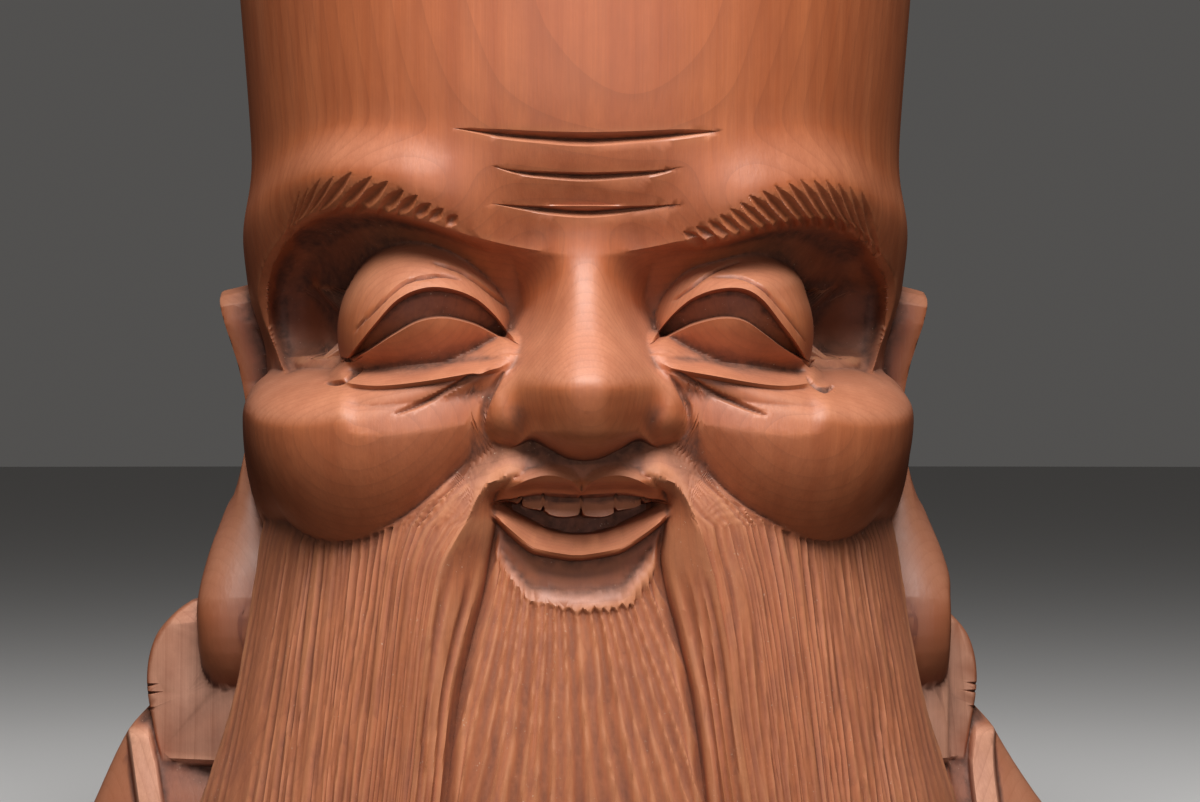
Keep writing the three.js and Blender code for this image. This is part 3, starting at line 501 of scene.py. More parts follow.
def eye(across, z):
    """Lids, slit and pouch of one eye, as depth toward the front."""
    outer = ease((19.9 - across) / 1.8)
    ends = ease((across - 5.1) / 1.6) * outer
    inner = ease((across - 5.8) / 3) * outer
    rim, top, line, fold = (through(c, across) for c in (LID_RIM, BALL_TOP, LOWER_LID, EYE_FOLD))
    deep = np.minimum(2.3, 1.1 * (rim - top) + 0.9) * ends
    nothing = 0 * across
    cut = stepped(z, [
        (rim + 2.6, nothing), (rim + 0.9, 0.25 * ends), (rim, 0.55 * ends), (rim - 0.35, -0.8 * deep),
        (top + 0.25, -deep - 0.5 * ends), (top, -0.1 * ends), (line + 0.05, -1.9 * inner),
        (line - 0.1, -1.9 * inner), (fold, 0.55 * inner), (fold - 0.35, -0.35 * inner),
        (fold - 1.6, -0.8 * inner), (fold - 4, nothing)])
    return np.where((across > 4.9) & (across < 20.2), cut, 0)


def mouth(across, z):
    """Lips, teeth and the open mouth, as depth toward the front."""
    ends = ease((7.5 - across) / 1.6)
    high, low, gape, sole = (through(c, across) for c in (LIP_TOP, LIP_LOW, GAPE, LIP_SOLE))
    teeth = np.minimum(through(TEETH, across), low - 0.05)
    hole = (-0.8 - 3.2 * clamp((teeth - gape) / 0.8)) * ends
    chin = through(HAIR_START, across) + 0.1
    nothing = 0 * across
    cut = stepped(z, [
        (high + 3.2, nothing), (high + 0.9, 0.35 * ends), (high, 1.3 * ends), (high - 0.12, 1.2 * ends),
        (low, 0.5 * ends), (low - 0.12, -0.6 * ends), (teeth, nothing), (teeth - 0.15, hole),
        (gape + 0.12, hole), (gape, -1.6 * ends), (sole + 0.25, 1.7 * ends), (sole, 1.5 * ends),
        (sole - 0.3, -0.5 * ends), (sole - 1.2, -0.35 * ends), (chin + 1.4, -0.5 * ends), (chin, nothing)])
    return np.where(across < 7.6, cut, 0)


def moustache(across, z):
    """Two strands standing proud of the chin tuft between them."""
    ridge, edge = through(MOUSTACHE_CREST, z), through(TUFT_EDGE, z)
    crest, sunk = through(CREST_RISE, z), through(TUFT_SINK, z)
    foot = sunk + 0.5 * ease((31 - z) / 4)
    up = clamp((across - edge) / np.maximum(ridge - edge, 0.3))
    outside = crest * hump(np.maximum(across - ridge, 0), 6)
    slope = -foot + (crest + foot) * up ** 0.8
    level = np.where(across < edge, -sunk, np.where(across < ridge, slope, outside))
    crack = -0.9 * hump(across - edge, 0.28) * ease((30.5 - z) / 2)
    return (level + crack) * ease((36.6 - z) / 1.8) * ease((22 - across) / 6)


def lapel(across, z):
    """Flat band down the robe's front opening, as depth toward the front."""
    edge = through(LAPEL_EDGE, z)
    band = ease((across - edge) / 0.4 + 0.5) * ease((edge + LAPEL_WIDTH - across) / 0.5 + 0.5)
    return LAPEL_RAISE * band * ease((13.4 - z) / 1.6)


# Rows and columns of the surface. Rows are heights bent to run along lips, cheeks, lids and brow;
# columns keep a set distance from the middle in front and a set angle at the sides.
FACE_ROWS = [
    22.4, 23.5, 24.6, 26, 27.3, 28.3, 29.3, 30.2, 31.1, 32, 33, 34.1, 35.1, 35.9, 36.5, 37.1, 37.9, 38.8,
    40, 41.1, 42.1, 43, 43.9, 44.8, 45.7, 46.6, 47.5, 48.5, 49.5, 50.5, 51.5, 52.5, 53.2, 54.3, 54.9, 55.3,
    55.9, 56.8, 57.8, 58.1, 58.6, 59.6, 60.6, 61, 61.8, 62.6
]
# Where in that list the lips, the cheek's foot, the nose, the eyes, the brow and the wrinkles begin
LIP_ROW = 3
FOOT_ROW = 7
NOSE_ROW = 13
EYE_ROW = 19
ARCH_ROW = 31
WRINKLE_ROW = 34
# A column runs up the tuft's edge and on round the nose's wing
SEAM = [
    *TUFT_EDGE[:8], (34, 6.9), (36, 7.1), (37.5, 7.9), (39.3, 8.5), (41, 8.1), (43, 6.9), (46, 5.8),
    (52, 6.4)
]
# Steps from row to row and column to column, in shares or, at the back, in degrees
ROW_STEP = 0.15
COLUMN_STEP = 0.115
BACK_STEP = 1.4
# The height from which rows lie further apart, and the degrees at which side and back columns begin
SPARSE_START = 65
SIDE_START = 48
BACK_START = 128
# The front's columns: the last one, how far it moves out toward the foot, and those that follow the
# moustache's crest, the tuft's edge and the tuft's inner part
FRONT_REACH = 19.3
FAN = 2.6
CREST_COLUMN = 9.4
TUFT_COLUMN = 7.1
TUFT_INNER = 4.4
# Half degrees, and distances from the middle, between which a column of the front or lapel lies
FRONT_RANGE = ((0, 133), (0, 24))
LAPEL_RANGE = ((148, 181), (28, 46))


class Lookup:
    """How far from the middle the surface stands at an angle and a height, and the other way round."""

    def __init__(self):
        self.angles = np.radians(np.arange(0, 180.01, 0.5))
        self.across_step, self.height_step = 0.1, 0.25
        turn, z = np.meshgrid(self.angles, np.arange(0, CROWN + 0.01, self.height_step))
        self.across_table = broad(turn, z)[0] * np.sin(turn)
        self.front_table = self.inverse(*FRONT_RANGE)
        self.side_table = self.inverse(*LAPEL_RANGE)

    def inverse(self, turns, reach):
        first, last = turns
        low, high = reach
        rising = np.maximum.accumulate(self.across_table[:, first:last], axis=1)
        rising += np.arange(last - first) * 1e-7
        places = np.arange(low, high + 0.01, self.across_step)
        return np.array([np.interp(places, row, self.angles[first:last]) for row in rising])

    def between(self, table, column, z):
        u = np.clip(z / self.height_step, 0, table.shape[0] - 1.001)
        v = np.clip(column, 0, table.shape[1] - 1.001)
        i, j = u.astype(int), v.astype(int)
        f, g = u - i, v - j
        low = table[i, j] * (1 - f) + table[i + 1, j] * f
        high = table[i, j + 1] * (1 - f) + table[i + 1, j + 1] * f
        return low * (1 - g) + high * g

    def across(self, angle, z):
        return self.between(self.across_table, np.degrees(angle) * 2, z)

    def front_angle(self, across, z):
        return self.between(self.front_table, across / self.across_step, z)

    def side_angle(self, across, z):
        nearest = LAPEL_RANGE[1][0]
        return np.degrees(self.between(self.side_table, (across - nearest) / self.across_step, z))


def piecewise(places, values, x):
    """Straight lines through (place, value) pairs, level beyond their ends."""
    out = values[0] + 0 * x
    for i in range(len(places) - 1):
        out = out + (values[i + 1] - values[i]) * clamp((x - places[i]) / (places[i + 1] - places[i]))
    return out


def row_heights(angle, across):
    """Height of each face row where it passes an angle, bent along the features it belongs to."""
    rows = [np.full(angle.shape, float(v)) for v in FACE_ROWS]

    def spread(first, last):
        for i in range(first + 1, last):
            rows[i] = rows[first] + (rows[last] - rows[first]) * (i - first) / (last - first)

    def mix(first, targets, share):
        for i, target in enumerate(targets, first):
            rows[i] = rows[i] + (target - rows[i]) * share

    facing = ease((math.radians(100) - angle) / math.radians(12))
    mix(FOOT_ROW, [through(CHEEK_FOOT, across)], facing)
    spread(LIP_ROW - 1, FOOT_ROW)
    spread(FOOT_ROW, EYE_ROW)
    lips = ease((11.6 - across) / 4) * facing
    sole, gape, teeth, low, high = (through(c, across) for c in (LIP_SOLE, GAPE, TEETH, LIP_LOW, LIP_TOP))
    mix(LIP_ROW, [sole - 0.6, sole, (sole + gape) / 2, gape, (gape + teeth) / 2, teeth, low,
                  (low + high) / 2, high], lips)
    mix(LIP_ROW + 9, FACE_ROWS[LIP_ROW + 9:EYE_ROW], lips)
    foot = through(NOSE_FOOT, across)
    mix(NOSE_ROW, [foot, foot + 0.35, foot + 1, foot + 2.1], ease((10.4 - across) / 1.8) * facing)
    eyes = ease((across - 3) / 2.2) * ease((22.5 - across) / 3) * facing
    fold, lid, top, rim = (through(c, across) for c in (EYE_FOLD, LOWER_LID, BALL_TOP, LID_RIM))
    mix(EYE_ROW, [fold - 0.6, fold, lid, (lid + top) / 2, top, top + 0.3, rim - 0.35, rim, rim + 1.2], eyes)
    arch = through(BROW_ARCH[:7], across)
    mix(ARCH_ROW, [arch - 0.5, arch + 0.1, arch + 1.2], facing)
    spread(EYE_ROW + 8, ARCH_ROW)
    spread(ARCH_ROW + 2, len(rows) - 1)
    brow = ease((14 - across) / 3) * facing
    for i, (top, low) in enumerate(WRINKLES[::-1]):
        upper, lower = through(top, across), through(low, across)
        bend = upper - (upper - lower) * WRINKLE_BEND
        mix(WRINKLE_ROW + 4 * i, [lower, bend, upper, upper + 0.9], brow)
    for i in range(1, len(rows)):
        rows[i] = np.maximum(rows[i], rows[i - 1] + 0.12)
    return np.array(rows)


def at_row(rows, place):
    """Height at a place between two rows."""
    i = np.minimum(place.astype(int), len(rows) - 2)
    low, high = (np.take_along_axis(rows, i[None] + k, 0)[0] for k in (0, 1))
    return low + (high - low) * (place - i)


def column_angle(lookup, column, z):
    """Columns up to FRONT_REACH are distances from the middle, from SIDE_START on degrees."""
    edge = through(SEAM, z)
    ridge = through(MOUSTACHE_CREST, np.minimum(z, 31)) + 0.8 * hump(z - 40, 4)
    reach = FRONT_REACH + FAN * ease((36 - z) / 36)
    spread = np.minimum(TUFT_INNER * (1 + 0.8 * np.maximum((RIDGE_HEIGHT - z) / 15, 0)), edge - 1)
    across = piecewise(
        [0, TUFT_INNER, 6.7, 7.3, CREST_COLUMN, FRONT_REACH],
        [0 * z, spread, edge - 0.2, edge + 0.3, ridge, reach], np.minimum(column, FRONT_REACH))
    start = np.degrees(lookup.front_angle(reach, z))
    share = ease((z - 10) / 5) * ease((56 - z) / 5)

    def toward(nominal, y):
        return nominal + (90 + np.degrees(np.arcsin(y / 27)) - nominal) * share

    ear_front, ear_back = toward(80, through(EAR_FRONT, z)), toward(108, through(EAR_BACK, z))
    inner, outer = ear_front + 1.6, ear_back - 1.8
    band = through(LAPEL_EDGE, z) - 3.2 * ease((z - 13.4) / 4)
    edges = (-0.25, 0.25, LAPEL_WIDTH - 0.3, LAPEL_WIDTH + 0.3)
    low = [lookup.side_angle(band + edge, z) + i * 0.1 for i, edge in enumerate(edges)]
    high = [inner + (outer - inner) * share for share in (0.2, 0.33, 0.47, 0.6)]
    upper = ease((z - 14) / 6)
    spots = [a + (b - a) * upper for a, b in zip(low, high)]
    flat = 0 * z
    side = piecewise(
        [SIDE_START, BEARD_EDGE_DEGREES, 84, 86, 90, 92.5, 95.5, 98, 106, 108, BACK_START, 180],
        [start, flat + BEARD_EDGE_DEGREES, ear_front - 0.4, inner, *spots, outer, ear_back,
         flat + BACK_START, flat + 180], np.maximum(column, SIDE_START))
    return np.where(column <= FRONT_REACH + 0.01, lookup.front_angle(across, z), np.radians(side))


def softened(share, times):
    """The same share over the grid, with its edges spread over more rows and columns."""
    for _ in range(times):
        share[1:-1] = (share[:-2] + 2 * share[1:-1] + share[2:]) / 4
        share[:, 1:-1] = (share[:, :-2] + 2 * share[:, 1:-1] + share[:, 2:]) / 4
    return share


def spaced(first, last, step):
    """Evenly spaced places from the first on, the last left out."""
    return np.linspace(first, last, max(round((last - first) / step), 1) + 1)[:-1]


def grid_rows():
    """Height of each row before it bends, and its place in the list of face rows, or -1."""
    low = spaced(0, FACE_ROWS[0], 2.2 * ROW_STEP)
    places = []
    for i, (a, b) in enumerate(zip(FACE_ROWS[:-1], FACE_ROWS[1:])):
        step = ROW_STEP * (0.65 if i >= EYE_ROW else 1)
        places.append(spaced(i, i + 1, step / (b - a)))
    places = np.concatenate(places)
    lift = spaced(0, math.pi / 2, math.radians(2))
    dome = DOME_START + (CROWN - DOME_START) * np.sin(lift)
    high = np.concatenate([
        spaced(FACE_ROWS[-1], SPARSE_START, 1.6 * ROW_STEP),
        spaced(SPARSE_START, DOME_START, 3 * ROW_STEP), dome])
    heights = np.concatenate([low, np.interp(places, np.arange(len(FACE_ROWS)), FACE_ROWS), high])
    return heights, np.concatenate([0 * low - 1, places, 0 * high - 1])


def grid():
    """Column, angle and height of every point of one half."""
    lookup = Lookup()
    heights, place = grid_rows()
    columns = np.concatenate([
        spaced(0, FRONT_REACH, COLUMN_STEP), [FRONT_REACH],
        spaced(SIDE_START, BEARD_EDGE_DEGREES, 2.3 * COLUMN_STEP)[1:],
        spaced(BEARD_EDGE_DEGREES, BACK_START, 2.6 * COLUMN_STEP), spaced(BACK_START, 180, BACK_STEP), [180]])
    column, z = np.meshgrid(columns, heights)
    place = np.broadcast_to(place[:, None], column.shape)
    face = place[:, 0] >= 0
    angle = column_angle(lookup, column, z)
    for _ in range(3):
        across = lookup.across(angle[face], z[face])
        z[face] = at_row(row_heights(angle[face], across), place[face])
        angle = column_angle(lookup, column, z)
    angle[:, -1] = math.pi
    return column, angle, z


def half_surface():
    """Columns, points, share of hair and of bare flat cuts over a grid of one half."""
    column, angle, z = grid()
    r, hair, cloth, flat, hollow = broad(angle, z)
    hollow = softened(hollow, SOCKET_SOFTENING)
    x, forward = r * np.sin(angle), r * np.cos(angle)
    band = lapel(x, z) * cloth
    cuts = eye(x, z) + mouth(x, z) + moustache(x, z) * hair + band - socket(x, z) * hollow
    cuts = cuts - GLABELLA_DIP * hump(x, 8) * hump(z - 52, 5.5) * (z > BEARD_REACH)
    seam = 0.5 + 1.6 * ease((z - 45) / 5)
    front = angle < math.pi / 2
    over = nose(x, z) - forward - cuts
    lips = ease((z - through(HAIR_START, x)) / 0.6) * ease((through(TUFT_EDGE, z) + 0.4 - x) / 0.6)
    hair = hair * np.where(front, (1 - lips) * (1 - ease(over + 0.5)), 1)
    forward = np.where(front, joined(forward + cuts, over + forward + cuts, seam), forward)
    fresh = ease(band - 0.2) * ease((math.radians(95) - angle) / 0.1)
    return column, np.stack([x, -forward, z], -1), hair, np.maximum(flat, fresh)


def uneven(points):
    """Left and right differ a little: the picture's right brow sits lower, and mouth, beard, right
    lid and right shoulder lie further left."""
    x, z = points[..., 0], points[..., 2]
    mouth_beard = (0.3 + 0.45 * ease((31 - z) / 4)) * ease((37 - z) / 4) * ease((17 - np.abs(x)) / 6)
    lid = 0.85 * ease((x - 11) / 6) * ease((24 - x) / 4) * ease((z - 39.5) / 3) * ease((52.5 - z) / 4)
    shoulder = 2.2 * ease((x - 31) / 3) * ease((26.5 - z) / 3) * ease(z / 12)
    brow = 0.9 * ease((x - 7) / 5) * ease((z - 49) / 3.5) * ease((64 - z) / 6) * ease((28 - x) / 3)
    return points - np.stack([mouth_beard + lid + shoulder, 0 * z, brow], -1)


def mirrored(half):
    """A full ring from one half, the middle columns kept once."""
    return np.concatenate([half, half[:, -2:0:-1]], axis=1)


def outward(points):
    """Unit normals of a closed ring grid."""
    along = np.roll(points, -1, 1) - np.roll(points, 1, 1)
    up = np.empty_like(points)
    up[1:-1] = points[2:] - points[:-2]
    up[0], up[-1] = points[1] - points[0], points[-1] - points[-2]
    normal = np.cross(along, up)
    return normal / np.maximum(np.linalg.norm(normal, axis=-1, keepdims=True), 1e-12)


def smoothed(values, reach):
    """Mean over a square of neighbours, going round the ring and stopping at top and foot."""
    out = values.swapaxes(0, 1)
    for beyond in ("wrap", "edge", "wrap", "edge"):
        total = np.cumsum(np.pad(out, ((reach, reach + 1), (0, 0), (0, 0)), beyond), 0)
        total = np.concatenate([0 * total[:1], total])
        out = (total[2 * reach + 1:-1] - total[:-2 * reach - 2]) / (2 * reach + 1)
        out = out.swapaxes(0, 1)
    return out.swapaxes(0, 1)


def scatter(i, j, seed=0.0):
    """A fixed random value from 0 to 1 for each pair of whole numbers."""
    v = np.sin(i * 127.1 + j * 311.7 + seed * 74.7) * 43758.5453
    return v - np.floor(v)


def noise(u, v, seed=0.0):
    """Smooth noise from -1 to 1 over a plane."""
    i, j = np.floor(u), np.floor(v)
    f, g = ease(u - i), ease(v - j)
    low = scatter(i, j, seed) * (1 - f) + scatter(i + 1, j, seed) * f
    high = scatter(i, j + 1, seed) * (1 - f) + scatter(i + 1, j + 1, seed) * f
    return 2 * (low * (1 - g) + high * g) - 1


def stroke(x, z, points, half_width, depth):
    """A knife's cut along a line, running out at both ends."""
    line = chain(points, 4)
    low, high = line.min(0) - half_width, line.max(0) + half_width
    near = (x > low[0]) & (x < high[0]) & (z > low[1]) & (z < high[1])
    distance, along = beside(line, x[near], z[near])
    opening = np.sqrt(clamp(np.minimum(along, 1 - along) / 0.22))
    out = np.zeros(x.shape)
    off = clamp(np.abs(distance) / (half_width * (0.5 + 0.5 * opening)))
    out[near] = depth * opening * (0.5 + 0.5 * np.cos(math.pi * off))
    return out


def forehead_cuts(x, z):
    """Long wrinkles: a slope that faces down, deepest near its lower lip."""
    out = np.zeros(x.shape)
    across = np.abs(x - WRINKLE_MIDDLE)
    for top, low in WRINKLES:
        upper, lower = through(top, across), through(low, across)
        t = clamp((upper - z) / np.maximum(upper - lower, 0.02))
        wedge = np.minimum(t / WRINKLE_BEND, (1 - t) / (1 - WRINKLE_BEND))
        out = np.maximum(out, np.where(across < top[-1][0], 0.95 * (upper - lower) * wedge, 0))
    return out


def channel(x, z, top, low, half_width, depth, closing):
    """A gouge cut between two points, pointed above; closing is how far it narrows at its low end."""
    reach = half_width + 0.1
    near = (np.abs(x - (top[0] + low[0]) / 2) < abs(top[0] - low[0]) / 2 + reach) \
        & (z > low[1] - reach) & (z < top[1] + reach)
    run = low - top
    t = clamp(((x[near] - top[0]) * run[0] + (z[near] - top[1]) * run[1]) / (run @ run))
    distance = np.hypot(x[near] - top[0] - t * run[0], z[near] - top[1] - t * run[1])
    wide = clamp(t / 0.4) ** 0.6 * (1 - closing * clamp((t - 0.55) / 0.45) ** 1.5)
    out = np.zeros(x.shape)
    out[near] = depth * wide * clamp(1 - (distance / np.maximum(half_width * wide, 0.02)) ** 1.7)
    return out


def brow_cuts(x, z):
    """Slanting gouge cuts between the hairs of the brows, close on the right, apart on the left."""
    out = np.zeros(x.shape)
    for (top, low), count, width, chance, closing in BROWS:
        places = np.linspace(0, 1, count)
        tops, lows = (chain(line, 12) for line in (top, low))
        tops, lows = (line[np.round(places * (len(line) - 1)).astype(int)] for line in (tops, lows))
        middle, run = (tops + lows) / 2, lows - tops
        step = np.gradient(middle, axis=0)
        gap = np.abs(run[:, 0] * step[:, 1] - run[:, 1] * step[:, 0]) / np.hypot(run[:, 0], run[:, 1])
        for i in range(count):
            start = tops[i] + run[i] * chance * 0.3 * (scatter(i, 3 * count) - 0.2)
            end = lows[i] + run[i] * (0.25 + chance * 0.3 * (scatter(i, 2 * count) - 0.5))
            half_width = gap[i] * width * (1 + chance * (scatter(i, count) - 0.5))
            out = np.maximum(out, channel(x, z, start, end, half_width, 0.85 * half_width, closing))
    return out


def tuft_flutes(x, z):
    """Round channels down the chin tuft, fanning out, with sharp ridges between."""
    drop = np.maximum((RIDGE_HEIGHT - z) / 15, -0.4)
    q = (x - 2 * drop) / (1 + 0.8 * drop)
    q = q + 0.16 * noise(q * 0.7, z * 0.14, 5) + 0.05 * noise(q * 2, z * 0.5, 6)
    ridges = np.array(RIDGES)
    i = np.clip(np.searchsorted(ridges, q) - 1, 0, len(ridges) - 2)
    width = ridges[i + 1] - ridges[i]
    t = clamp((q - ridges[i]) / width)
    begin = through(HAIR_START, x) + 0.45 * (1 - np.abs(2 * t - 1)) - 0.1 + 0.25 * (scatter(i, 2) - 0.5)
    started = ease((begin - z) / 0.3)
    round_share = 0.7 * (1 - np.abs(2 * t - 1) ** 2.2) + 0.3 * np.sin(math.pi * t) ** 2
    flute = 0.36 * width * (1 + 0.6 * np.maximum(drop, 0)) * round_share
    return started * (flute * (0.75 + 0.4 * scatter(i, 9)) + 0.1)


def furrows(s, z, pitch, seed):
    """Uneven round channels along the hair with sharp ridges between, from 0 to 1 deep."""
    q = s / pitch + 0.9 * noise(s * 0.35, z * 0.035, seed) + 0.3 * noise(s * 1.1, z * 0.12, seed + 1)
    i = np.floor(q)
    t = q - i
    deep = 0.2 + 0.8 * scatter(i, 0, seed) + 0.7 * noise(i * 0.9, z * 0.16, seed + 2)
    return clamp(deep) * (1 - np.abs(2 * t - 1) ** 2.4)


def hair_cuts(x, z, column, hair):
    """Depth of the furrows over the whole beard; they run along the columns."""
    s = np.where(column < SIDE_START, column, FRONT_REACH + (column - SIDE_START) * 0.5) - CREST_COLUMN
    s = s + 0.85 * np.maximum(z - 30.2, 0) * (1 - ease(s / 9)) * ease((s + 1) / 1)
    side = np.where(x < 0, 3, 11)
    plain = ease((s - 12) / 6)
    outer = 0.24 * furrows(s, z, 0.66, side) + 0.13 * furrows(s, z, 0.31, side + 20)
    outer = outer * (1 - 0.6 * plain) * ease((35.8 - z) / 2 + ease((s - 1) / 3))
    outer = outer * (1 - 0.7 * ease((z - 29) / 3) * ease((5 - s) / 3))
    inner = 0.42 * furrows(s, z, 0.42, side + 40) * ease((27.5 - z) / 5) * ease(-s / 0.3)
    sides = np.where(s > 0, outer * ease(s / 0.3), inner)
    tuft = column < TUFT_COLUMN
    fine = np.where(tuft, tuft_flutes(x, z) * ease((TUFT_COLUMN - column) / 1.2 + 0.2), sides)
    edge = BEARD_EDGE_DEGREES - 0.6
    return fine * ease((hair - 0.35) / 0.5) * ease((edge - column) / 1.2)


def tooth_gaps(x, z):
    """Narrow notches between the upper teeth."""
    across = np.abs(x)
    low, teeth = through(LIP_LOW, across), through(TEETH, across)
    row = ease((low - z) / 0.15) * ease((z - teeth + 0.3) / 0.2)
    gaps = sum(clamp(1 - np.abs(x - gap) / 0.16) for gap in TEETH_GAPS)
    return 0.5 * clamp(gaps) * row


def fine_depth(even, points, column, hair):
    """How deep the small cuts go below the broad forms; even is the surface before it leans."""
    x, z = points[..., 0], points[..., 2]
    cut = np.maximum(forehead_cuts(even[..., 0], even[..., 2]), brow_cuts(x, z))
    for line, half_width, depth in CREASES:
        cut = np.maximum(cut, stroke(x, z, line, half_width, depth))
    cut = np.maximum(cut, tooth_gaps(even[..., 0], even[..., 2]))
    cut = np.where((points[..., 1] < -4) & (column < 85), cut, 0)
    return np.maximum(cut, hair_cuts(x, z, column, hair))


def carved_surface():
    """Ring grid of the finished surface, its normals, and how it varies over the surface."""
    column, half, hair, flat = half_surface()
    even = np.concatenate([half, (half * (-1, 1, 1))[:, -2:0:-1]], axis=1)
    column, hair, flat = mirrored(column), mirrored(hair), mirrored(flat)
    points = uneven(even)
    brows = ease(brow_cuts(points[..., 0], points[..., 2]) / 0.1)
    depth = fine_depth(even, points, column, hair)
    points = points - outward(smoothed(points, 2)) * depth[..., None]
    normals = outward(points)
    close = ((smoothed(points, 3) - points) * normals).sum(-1)
    wide = ((smoothed(points, 9) - points) * normals).sum(-1)
    # Darkening of cuts and hollows: dirt and painted shade in the fine cuts, painted shade in broad hollows
    # such as the sockets
    grime_and_shade = clamp(np.maximum(close / 0.15, 0.6 * (wide - 0.12) / 0.5)) * (1 - 0.7 * flat) * (1 - 0.7 * brows)
    worn = clamp(-close / 0.09)
    return points, normals, {"grime_and_shade": grime_and_shade, "worn": worn, "hair": hair, "flat": flat}


def grid_mesh(rings, foot, crown):
    """A closed mesh from a grid of rings, a point below and a point above."""
    n, m = rings.shape[:2]
    vertices = np.vstack([rings.reshape(-1, 3), foot, crown])
    i, j = np.arange(n - 1)[:, None] * m, np.arange(m)[None]
    after = (j + 1) % m
    quads = np.stack([i + j, i + after, i + m + after, i + m + j], -1).reshape(-1, 4)
    ring = np.arange(m)
    following = (ring + 1) % m
    last = (n - 1) * m
    under = np.stack([following, ring, np.full(m, n * m)], -1)
    over = np.stack([last + ring, last + following, np.full(m, n * m + 1)], -1)
    mesh = bpy.data.meshes.new("carving")
    mesh.from_pydata(vertices, [], [*quads.tolist(), *under.tolist(), *over.tolist()])
    return mesh


def thinned(mesh, triangles):
    """The same mesh with fewer triangles, most kept where the surface bends."""
    draft = bpy.data.objects.new("draft", mesh)
    bpy.context.collection.objects.link(draft)
    modifier = draft.modifiers.new("thin", "DECIMATE")
    modifier.ratio = triangles / sum(len(p.vertices) - 2 for p in mesh.polygons)
    modifier.use_collapse_triangulate = True
    graph = bpy.context.evaluated_depsgraph_get()
    result = bpy.data.meshes.new_from_object(draft.evaluated_get(graph))
    bpy.data.objects.remove(draft)
    return result


def nearest_points(mesh, points):
    """For each of the mesh's vertices, which of the dense surface's points lies nearest."""
    dense = points.reshape(-1, 3)
    tree = kdtree.KDTree(len(dense))
    for i, point in enumerate(dense):
        tree.insert(point, i)
    tree.balance()
    return np.array([tree.find(v.co)[1] for v in mesh.vertices])


def shade_smooth(mesh, normals, hair):
    """Smooth shading by the dense surface's normals, where they agree with the mesh's own."""
    mesh.polygons.foreach_set("use_smooth", np.ones(len(mesh.polygons), bool))
    mesh.set_sharp_from_angle(angle=SHARP)
    own = np.empty(len(mesh.loops) * 3, np.float32)
    mesh.corner_normals.foreach_get("vector", own)
    own = own.reshape(-1, 3)
    corner = np.empty(len(mesh.loops), np.int32)
    mesh.loops.foreach_get("vertex_index", corner)
    turned = normals[corner]
    turned /= np.maximum(np.linalg.norm(turned, axis=1, keepdims=True), 1e-9)
    trust = np.where(hair[corner] > 0.5, math.cos(HAIR_TRUST), math.cos(NORMAL_TRUST))
    agreeing = ((turned * own).sum(1) > trust)[:, None]
    mesh.normals_split_custom_set(np.where(agreeing, turned, own))


def build_bust():
    """The carving, scaled into the solid's own box."""
    points, normals, shares = carved_surface()
    low, high = (np.array(corner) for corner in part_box(NODE))
    own_low, own_high = points.reshape(-1, 3).min(0), points.reshape(-1, 3).max(0)
    own_high[2] = CROWN
    scale = (high - low) / (own_high - own_low)

    def placed(p):
        return low + (p - own_low) * scale

    foot, crown = placed(np.array([0, 0, 0])), placed(np.array([0, 0, CROWN]))
    mesh = thinned(grid_mesh(placed(points), foot, crown), TRIANGLES)
    nearest = nearest_points(mesh, placed(points))
    for name, values in shares.items():
        layer = mesh.attributes.new(name, "FLOAT", "POINT")
        layer.data.foreach_set("value", values.ravel()[nearest].astype(np.float32))
    shade_smooth(mesh, normals.reshape(-1, 3)[nearest] / scale, shares["hair"].ravel()[nearest])
    bust = bpy.data.objects.new("bust_carving", mesh)
    bpy.context.collection.objects.link(bust)
    return bust


class Nodes:
    """Short names for the shader nodes of one material."""

    def __init__(self, name):
        self.material = bpy.data.materials.new(name)
        self.material.use_nodes = True
        self.tree = self.material.node_tree
        self.shader = self.tree.nodes["Principled BSDF"]

    def add(self, kind, inputs=(), **settings):
        node = self.tree.nodes.new(kind)
        for key, value in settings.items():
            setattr(node, key, value)
        for key, value in dict(inputs).items():
            self.plug(value, node.inputs[key])
        return node

    def plug(self, value, entry):
        """A link where the value is another node's output, a plain setting where it is a number."""
        if isinstance(value, bpy.types.NodeSocket):
            self.tree.links.new(value, entry)
        else:
            entry.default_value = value

    def math(self, operation, a, b=0.0):
        return self.add("ShaderNodeMath", {0: a, 1: b}, operation=operation).outputs[0]

    def times(self, a, b):
        return self.math("MULTIPLY", a, b)

    def plus(self, a, b):
        return self.math("ADD", a, b)

    def ramp(self, value, low, high, out_low=0.0, out_high=1.0):
        ends = {0: value, 1: low, 2: high, 3: out_low, 4: out_high}
        return self.add("ShaderNodeMapRange", ends).outputs[0]

    def layered(self, tone, layers):
        """A colour with others laid over it, each given as (share, colour)."""
        for share, colour in layers:
            tone = self.add("ShaderNodeMix", {0: share, 6: tone, 7: colour}, data_type="RGBA").outputs[2]
        return tone

    def attribute(self, name):
        return self.add("ShaderNodeAttribute", attribute_name=name).outputs["Fac"]

    def noise(self, vector, scales, detail=2.0, roughness=0.5):
        """Noise with a scale of its own along each axis."""
        stretched = self.add("ShaderNodeMapping", {"Vector": vector, "Scale": scales}).outputs[0]
        values = {"Vector": stretched, "Scale": 1, "Detail": detail, "Roughness": roughness}
        return self.add("ShaderNodeTexNoise", values).outputs["Fac"]


def late_wood(n, place):
    """The dark rims of growth rings round an axis that leans a little."""
    axis = n.add("ShaderNodeMapping", {"Vector": place, "Location": PITH, "Rotation": PITH_LEAN}).outputs[0]
    parts = n.add("ShaderNodeSeparateXYZ", {0: axis}).outputs
    distance = n.math("SQRT", n.plus(n.times(parts[0], parts[0]), n.times(parts[1], parts[1])))
    waver = n.noise(place, (30, 30, 9))
    rings = n.plus(n.times(distance, RINGS_A_METRE), n.times(waver, 2.2))
    return n.math("POWER", n.math("FRACT", rings), 5.0)


